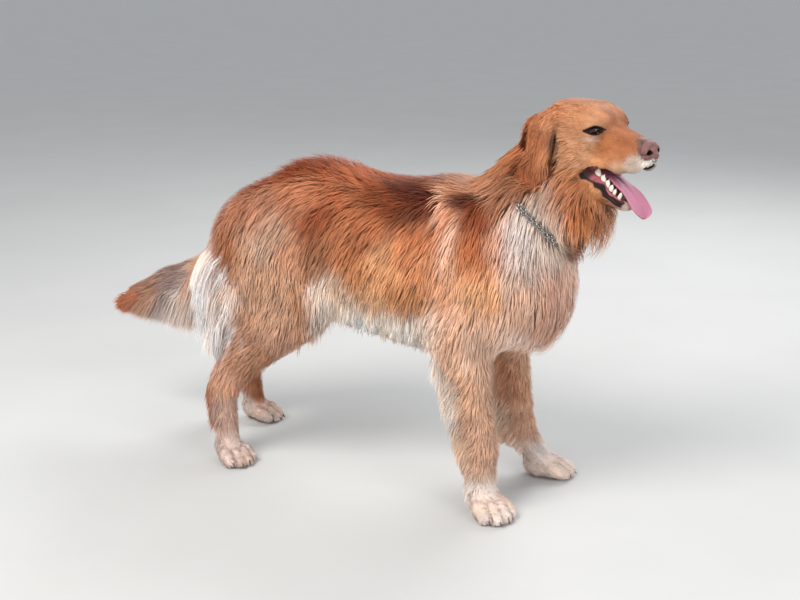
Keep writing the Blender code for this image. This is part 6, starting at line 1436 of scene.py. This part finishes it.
# ---------------------------------------------------------------- tongue, teeth
TONGUE = [  # along the tongue in head space: x, z, half width, half thickness
    (-0.030, -0.0820, 0.0115, 0.0070), (-0.008, -0.0785, 0.0120, 0.0062), (0.015, -0.0815, 0.0138, 0.0055), (0.036, -0.0900, 0.0168, 0.0048),
    (0.055, -0.1010, 0.0200, 0.0042), (0.071, -0.1140, 0.0220, 0.0038), (0.083, -0.1280, 0.0226, 0.0034), (0.088, -0.1365, 0.0215, 0.0030)]
def tongue_mesh(rows=70, cols=28):
    """The upper and lower face of the tongue, with its groove and raised edges."""
    T = np.array(TONGUE)
    s0 = np.concatenate([[0], np.cumsum(np.linalg.norm(np.diff(T[:, :2], axis=0), axis=1))])
    s = np.linspace(0, s0[-1], rows)
    x, z, w, h = (pchip(s0, T[:, i], s) for i in range(4))
    w = w * np.sqrt(np.clip(1 - np.clip((s - s0[-1] + 0.019) / 0.0195, 0, 1) ** 2, 0.02, 1))
    dx, dz = np.gradient(x), np.gradient(z)
    L = np.hypot(dx, dz)
    nx, nz = -dz / L, dx / L
    V, C = [], []
    pink, deep = linear((214, 142, 168)), linear((176, 104, 132))
    for i in range(rows):
        f = i / (rows - 1)
        for k in range(cols):
            a = 2 * pi * k / cols
            cy, cz = cos(a), sin(a)
            y = w[i] * cy
            lift = h[i] * (abs(cz) ** 0.8) * (1 if cz > 0 else -1)
            curl = 0.0042 * abs(cy) ** 3 * f ** 0.5
            groove = 0.0022 * np.exp(-(y / 0.0024) ** 2) * (cz > 0) * np.clip(1.1 - f, 0, 1) ** 0.5
            wob = 0.0007 * sin(f * 17 + 3 * cy) * abs(cy)
            u = lift + curl - groove + wob
            V.append((x[i] + nx[i] * u, y + 0.0030, z[i] + nz[i] * u))
            # The groove is painted a deeper pink, and the tongue darker towards its root inside the mouth and on its
            # underside: painted shade.
            g = np.exp(-(y / 0.0030) ** 2) * (cz > 0) * (1 - 0.6 * f)
            C.append((pink * (1 - 0.5 * g) + deep * 0.5 * g) * (0.82 + 0.18 * f) * (1.0 if cz > -0.1 else 0.8))
    Q = [(i * cols + k, i * cols + (k + 1) % cols, (i + 1) * cols + (k + 1) % cols, (i + 1) * cols + k) for i in range(rows - 1) for k in range(cols)]
    V += [(x[0], 0.0030, z[0]), (x[-1] + 0.0012 * dx[-1] / L[-1], 0.0030, z[-1] + 0.0012 * dz[-1] / L[-1])]
    C += [deep, pink]
    c0, c1 = rows * cols, rows * cols + 1
    Tr = [(c0, (k + 1) % cols, k) for k in range(cols)] + [(c1, (rows - 1) * cols + k, (rows - 1) * cols + (k + 1) % cols) for k in range(cols)]
    return np.array(V), np.array(Q, np.int32), np.array(Tr, np.int32), np.array(C, np.float32)
V, Q, T, C = tongue_mesh()
tongue_ob = build("tongue_wet", head_world(V), [Q, T], C)
n = Nodes("tongue_flesh")
a = n.add("ShaderNodeVertexColor", layer_name="coat")
noise = n.add("ShaderNodeTexNoise", Scale=1500.0, Detail=2.0)
n.link(n.coords(1.0), "Vector", noise, "Vector")
m = n.mixed(noise, "Fac", (a, "Color"), tuple(float(v) for v in linear((150, 84, 104))))
n.link(m, 2, n.b, "Base Color")
n.set(Roughness=0.50, Specular_IOR_Level=0.25, Coat_Weight=0.05, Coat_Roughness=0.3, Subsurface_Weight=0.25, Subsurface_Scale=0.004)
n.bump(noise, "Fac", 0.5, 0.0005)
tongue_ob.data.materials.append(n.mat)
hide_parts("tongue")

TEETH = [  # place along the jaw, from the midline, foot, height of crown, half length
    (-0.016, 0.0268, -0.0440, 0.0080, 0.0084), (-0.002, 0.0250, -0.0445, 0.0100, 0.0092), (0.012, 0.0230, -0.0452, 0.0115, 0.0098), (0.0250, 0.0208, -0.0468, 0.0095, 0.0076),
    (0.0355, 0.0182, -0.0488, 0.0085, 0.0062), (0.0450, 0.0160, -0.0508, 0.0072, 0.0050), (0.0530, 0.0140, -0.0525, 0.0060, 0.0038), (0.0640, 0.0110, -0.0545, 0.0095, 0.0042)]
bits, cols = [], []
for s in (-1, 1):
    for x, y, foot, tall, half in TEETH:
        V, Q, T = globe(12, 14)
        up = V[:, 0]                                 # the pole points up the crown
        f = (up + 1) / 2
        fat = np.clip(1.06 - f ** 2.6, 0.05, 1) / np.maximum(np.sqrt(1 - up * up), 0.15)
        cusp = 1.0 + (0.10 * np.cos(V[:, 1] * 6) if tall < 0.011 else 0)
        q = np.stack([x + V[:, 1] * half * fat * 0.9 - f * half * 0.15, s * y + V[:, 2] * half * 0.52 * fat, foot + f * (tall + 0.0045) * cusp], 1)
        bits.append((head_world(jaw_head(q)), Q, T))
        cols.append(linear((244, 236, 222)) * (0.80 + 0.20 * f[:, None]))
V, Q, T = joined(bits)
teeth_ob = build("teeth", V, [Q, T], np.concatenate(cols).astype(np.float32))
n = Nodes("enamel")
a = n.add("ShaderNodeVertexColor", layer_name="coat")
noise = n.add("ShaderNodeTexNoise", Scale=400.0, Detail=3.0)
n.link(n.coords(1.0), "Vector", noise, "Vector")
m = n.mixed(None, None, (a, "Color"), (0.62, 0.50, 0.33), "MIX", 0.0)
r = n.add("ShaderNodeMapRange")
r.inputs["To Max"].default_value = 0.22
n.link(noise, "Fac", r, "Value")
n.t.links.new(r.outputs["Result"], m.inputs[0])
n.link(m, 2, n.b, "Base Color")
n.set(Roughness=0.22, Coat_Weight=0.4, Coat_Roughness=0.08)
n.bump(noise, "Fac", 0.1, 0.0004)
teeth_ob.data.materials.append(n.mat)

# ---------------------------------------------------------------- claws
bits = []
for name, J in LEGS.items():
    front = name.startswith("fore")
    ft = np.array(J["foot"]); R = turn(J["turn"]); s = 1.08 if front else 0.98
    k = ft + R @ np.array((0.012 if front else 0.010, 0, 0))
    for ty, tx, ang in ((-0.0215, 0.012, -10), (-0.0078, 0.024, -3), (0.0078, 0.024, 3), (0.0215, 0.012, 10)):
        root = np.array((k[0], k[1], 0)) + R @ np.array(((tx + 0.0235) * s, ty * s * 1.05, 0.0150))
        tip = np.array((k[0], k[1], 0)) + R @ np.array(((tx + 0.0345) * s, ty * s * 1.08, 0.0045))
        f = np.linspace(0, 1, 9)[:, None]
        line = root * (1 - f) + tip * f + np.array((0, 0, 0.0035)) * (4 * f * (1 - f)) * 0.7
        bits.append(tube_mesh(line, 0.0026 * (1 - f[:, 0] ** 2 * 0.78), 8, up=(0.0, 0.0, 1.0)))
V, Q, T = joined(bits)
claw_ob = build("claws", V, [Q, T])
n = Nodes("claw_horn")
noise = n.add("ShaderNodeTexNoise", Scale=300.0, Detail=3.0)
n.link(n.coords((1, 1, 4)), "Vector", noise, "Vector")
m = n.mixed(noise, "Fac", (0.030, 0.022, 0.020), (0.085, 0.062, 0.050))
n.link(m, 2, n.b, "Base Color")
n.set(Roughness=0.38, Coat_Weight=0.15, Coat_Roughness=0.2)
n.bump(noise, "Fac", 0.2, 0.0005)
claw_ob.data.materials.append(n.mat)

# ---------------------------------------------------------------- collar: a double row of oval links
def collar_line(count, sink):
    """Points of the coat's outline in the collar's plane, drawn inwards by sink."""
    n = COLLAR_NORMAL.astype(float)
    side = np.array((0, 1.0, 0)); side -= n * (side @ n); side /= np.linalg.norm(side)
    upd = np.cross(n, side)
    out = []
    for i in range(count):
        a = 2 * pi * i / count
        d = side * cos(a) + upd * sin(a)
        r = np.linspace(0.03, 0.16, 131)
        ray = (COLLAR_AT + np.outer(r, d)).astype(np.float32)
        f = np.maximum(body_coat(ray) + sink, smin(skin_body(ray), skull(head_local(ray)), 0.03) - 0.034)      # never far from the neck itself
        out.append(COLLAR_AT + d * r[int(np.argmax(f > 0))])
    P = np.array(out)
    for _ in range(3):
        P = (np.roll(P, 1, 0) + 2 * P + np.roll(P, -1, 0)) / 4
    return P
L = collar_line(240, 0.0060)
inward = COLLAR_AT - L
inward /= np.linalg.norm(inward, axis=1)[:, None]
hidden = 1 - glide(L[:, 0], 0.300, 0.322) * glide(np.abs(L[:, 1] - COLLAR_AT[1]), 0.004, 0.016)      # at the nape and the throat it lies deep in the hair
L = L + inward * (0.011 * hidden)[:, None]
gap = np.linalg.norm(np.roll(L, -1, 0) - L, axis=1)
cum = np.concatenate([[0], np.cumsum(gap)])
round_ = np.concatenate([L, L[:1]])
links = int(round(cum[-1] / 0.0064)) // 2 * 2
def on_line(d):
    d = d % cum[-1]
    return np.array([np.interp(d, cum, round_[:, i]) for i in range(3)])
bits, cols = [], []
middle = L.mean(0)
for i in range(links):
    d = cum[-1] * i / links
    p, t = on_line(d), on_line(d + 0.004) - on_line(d - 0.004)
    t /= np.linalg.norm(t)
    o = p - middle; o -= t * (o @ t); o /= np.linalg.norm(o)
    b = np.cross(t, o)
    for row in (-1, 1):
        tilt = radians(38) * (1 if i % 2 else -1)
        face_dir = o * cos(tilt) + b * sin(tilt) * row
        across = np.cross(face_dir, t)
        a = np.linspace(0, 2 * pi, 19)[:-1]
        centre = p + b * row * 0.0023
        ringp = centre + np.outer(np.cos(a) * 0.0052, t) + np.outer(np.sin(a) * 0.0036, across)
        bits.append(tube_mesh(ringp, 0.00095, 6, True, up=face_dir))
        low = glide(np.array([-(p[2] - 0.515)]), 0.0, 0.03)[0]
        base = linear((170, 168, 164)) * (1 - 0.55 * low) + linear((150, 128, 90)) * 0.55 * low
        cols.append(np.tile(base * (0.9 + 0.2 * rng.random()), (len(bits[-1][0]), 1)))
V, Q, T = joined(bits)
collar_ob = build("collar_chain", V, [Q], np.concatenate(cols).astype(np.float32))
n = Nodes("chain_steel")
a = n.add("ShaderNodeVertexColor", layer_name="coat")
noise = n.add("ShaderNodeTexNoise", Scale=500.0, Detail=4.0)
n.link(n.coords(1.0), "Vector", noise, "Vector")
m = n.mixed(None, None, (a, "Color"), (0.10, 0.085, 0.07), "MIX", 0.0)
r = n.add("ShaderNodeMapRange")
for k, v in (("From Min", 0.45), ("From Max", 0.75), ("To Min", 0.0), ("To Max", 0.6)):
    r.inputs[k].default_value = v
n.link(noise, "Fac", r, "Value")
n.t.links.new(r.outputs["Result"], m.inputs[0])
n.link(m, 2, n.b, "Base Color")
n.set(Roughness=0.24, Metallic=1.0)
n.bump(noise, "Fac", 0.15, 0.0003)
collar_ob.data.materials.append(n.mat)
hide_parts("collar")

# ---------------------------------------------------------------- floor, light, camera
me = bpy.data.meshes.new("floor")
S = 60.0
me.from_pydata([(-S, -S, 0), (S, -S, 0), (S, S, 0), (-S, S, 0)], [], [(0, 1, 2, 3)])
floor = bpy.data.objects.new("floor", me)
bpy.context.scene.collection.objects.link(floor)
n = Nodes("floor_paint")
noise = n.add("ShaderNodeTexNoise", Scale=3.0, Detail=6.0)
n.link(n.coords(1.0), "Vector", noise, "Vector")
m = n.mixed(noise, "Fac", (0.47, 0.47, 0.46), (0.52, 0.52, 0.51))
n.link(m, 2, n.b, "Base Color")
n.set(Roughness=0.7, Specular_IOR_Level=0.2)
floor.data.materials.append(n.mat)

def lamp(name, place, target, size, power, colour=(1, 1, 1)):
    d = bpy.data.lights.new(name, "AREA")
    d.shape, d.size, d.energy, d.color = "DISK", size, power, colour
    ob = bpy.data.objects.new(name, d)
    ob.location = place
    ob.rotation_euler = (Vector(target) - Vector(place)).to_track_quat("-Z", "Y").to_euler()
    bpy.context.scene.collection.objects.link(ob)
lamp("key", (-0.6, -2.0, 2.6), (0.05, 0, 0.4), 1.6, 100, (1.0, 0.97, 0.93))
lamp("fill", (2.6, -1.2, 1.4), (0.2, 0, 0.4), 2.0, 28, (0.95, 0.97, 1.0))
lamp("rim", (0.4, 2.4, 2.4), (0.1, 0, 0.4), 1.8, 58)
world = bpy.data.worlds.new("studio")
world.use_nodes = True
world.node_tree.nodes["Background"].inputs[0].default_value = (0.86, 0.89, 0.93, 1)
world.node_tree.nodes["Background"].inputs[1].default_value = 0.78
bpy.context.scene.world = world
bpy.context.scene.view_settings.view_transform = "Standard"

cam = bpy.data.cameras.new("camera")
cam.lens, cam.sensor_width = 54.0, 36.0
cam_ob = bpy.data.objects.new("camera", cam)
cam_ob.location = (1.0786, -1.9613, 0.98)
cam_ob.rotation_euler = (radians(74), 0, radians(26.8))
bpy.context.scene.collection.objects.link(cam_ob)
bpy.context.scene.camera = cam_ob

bpy.context.view_layer.update()
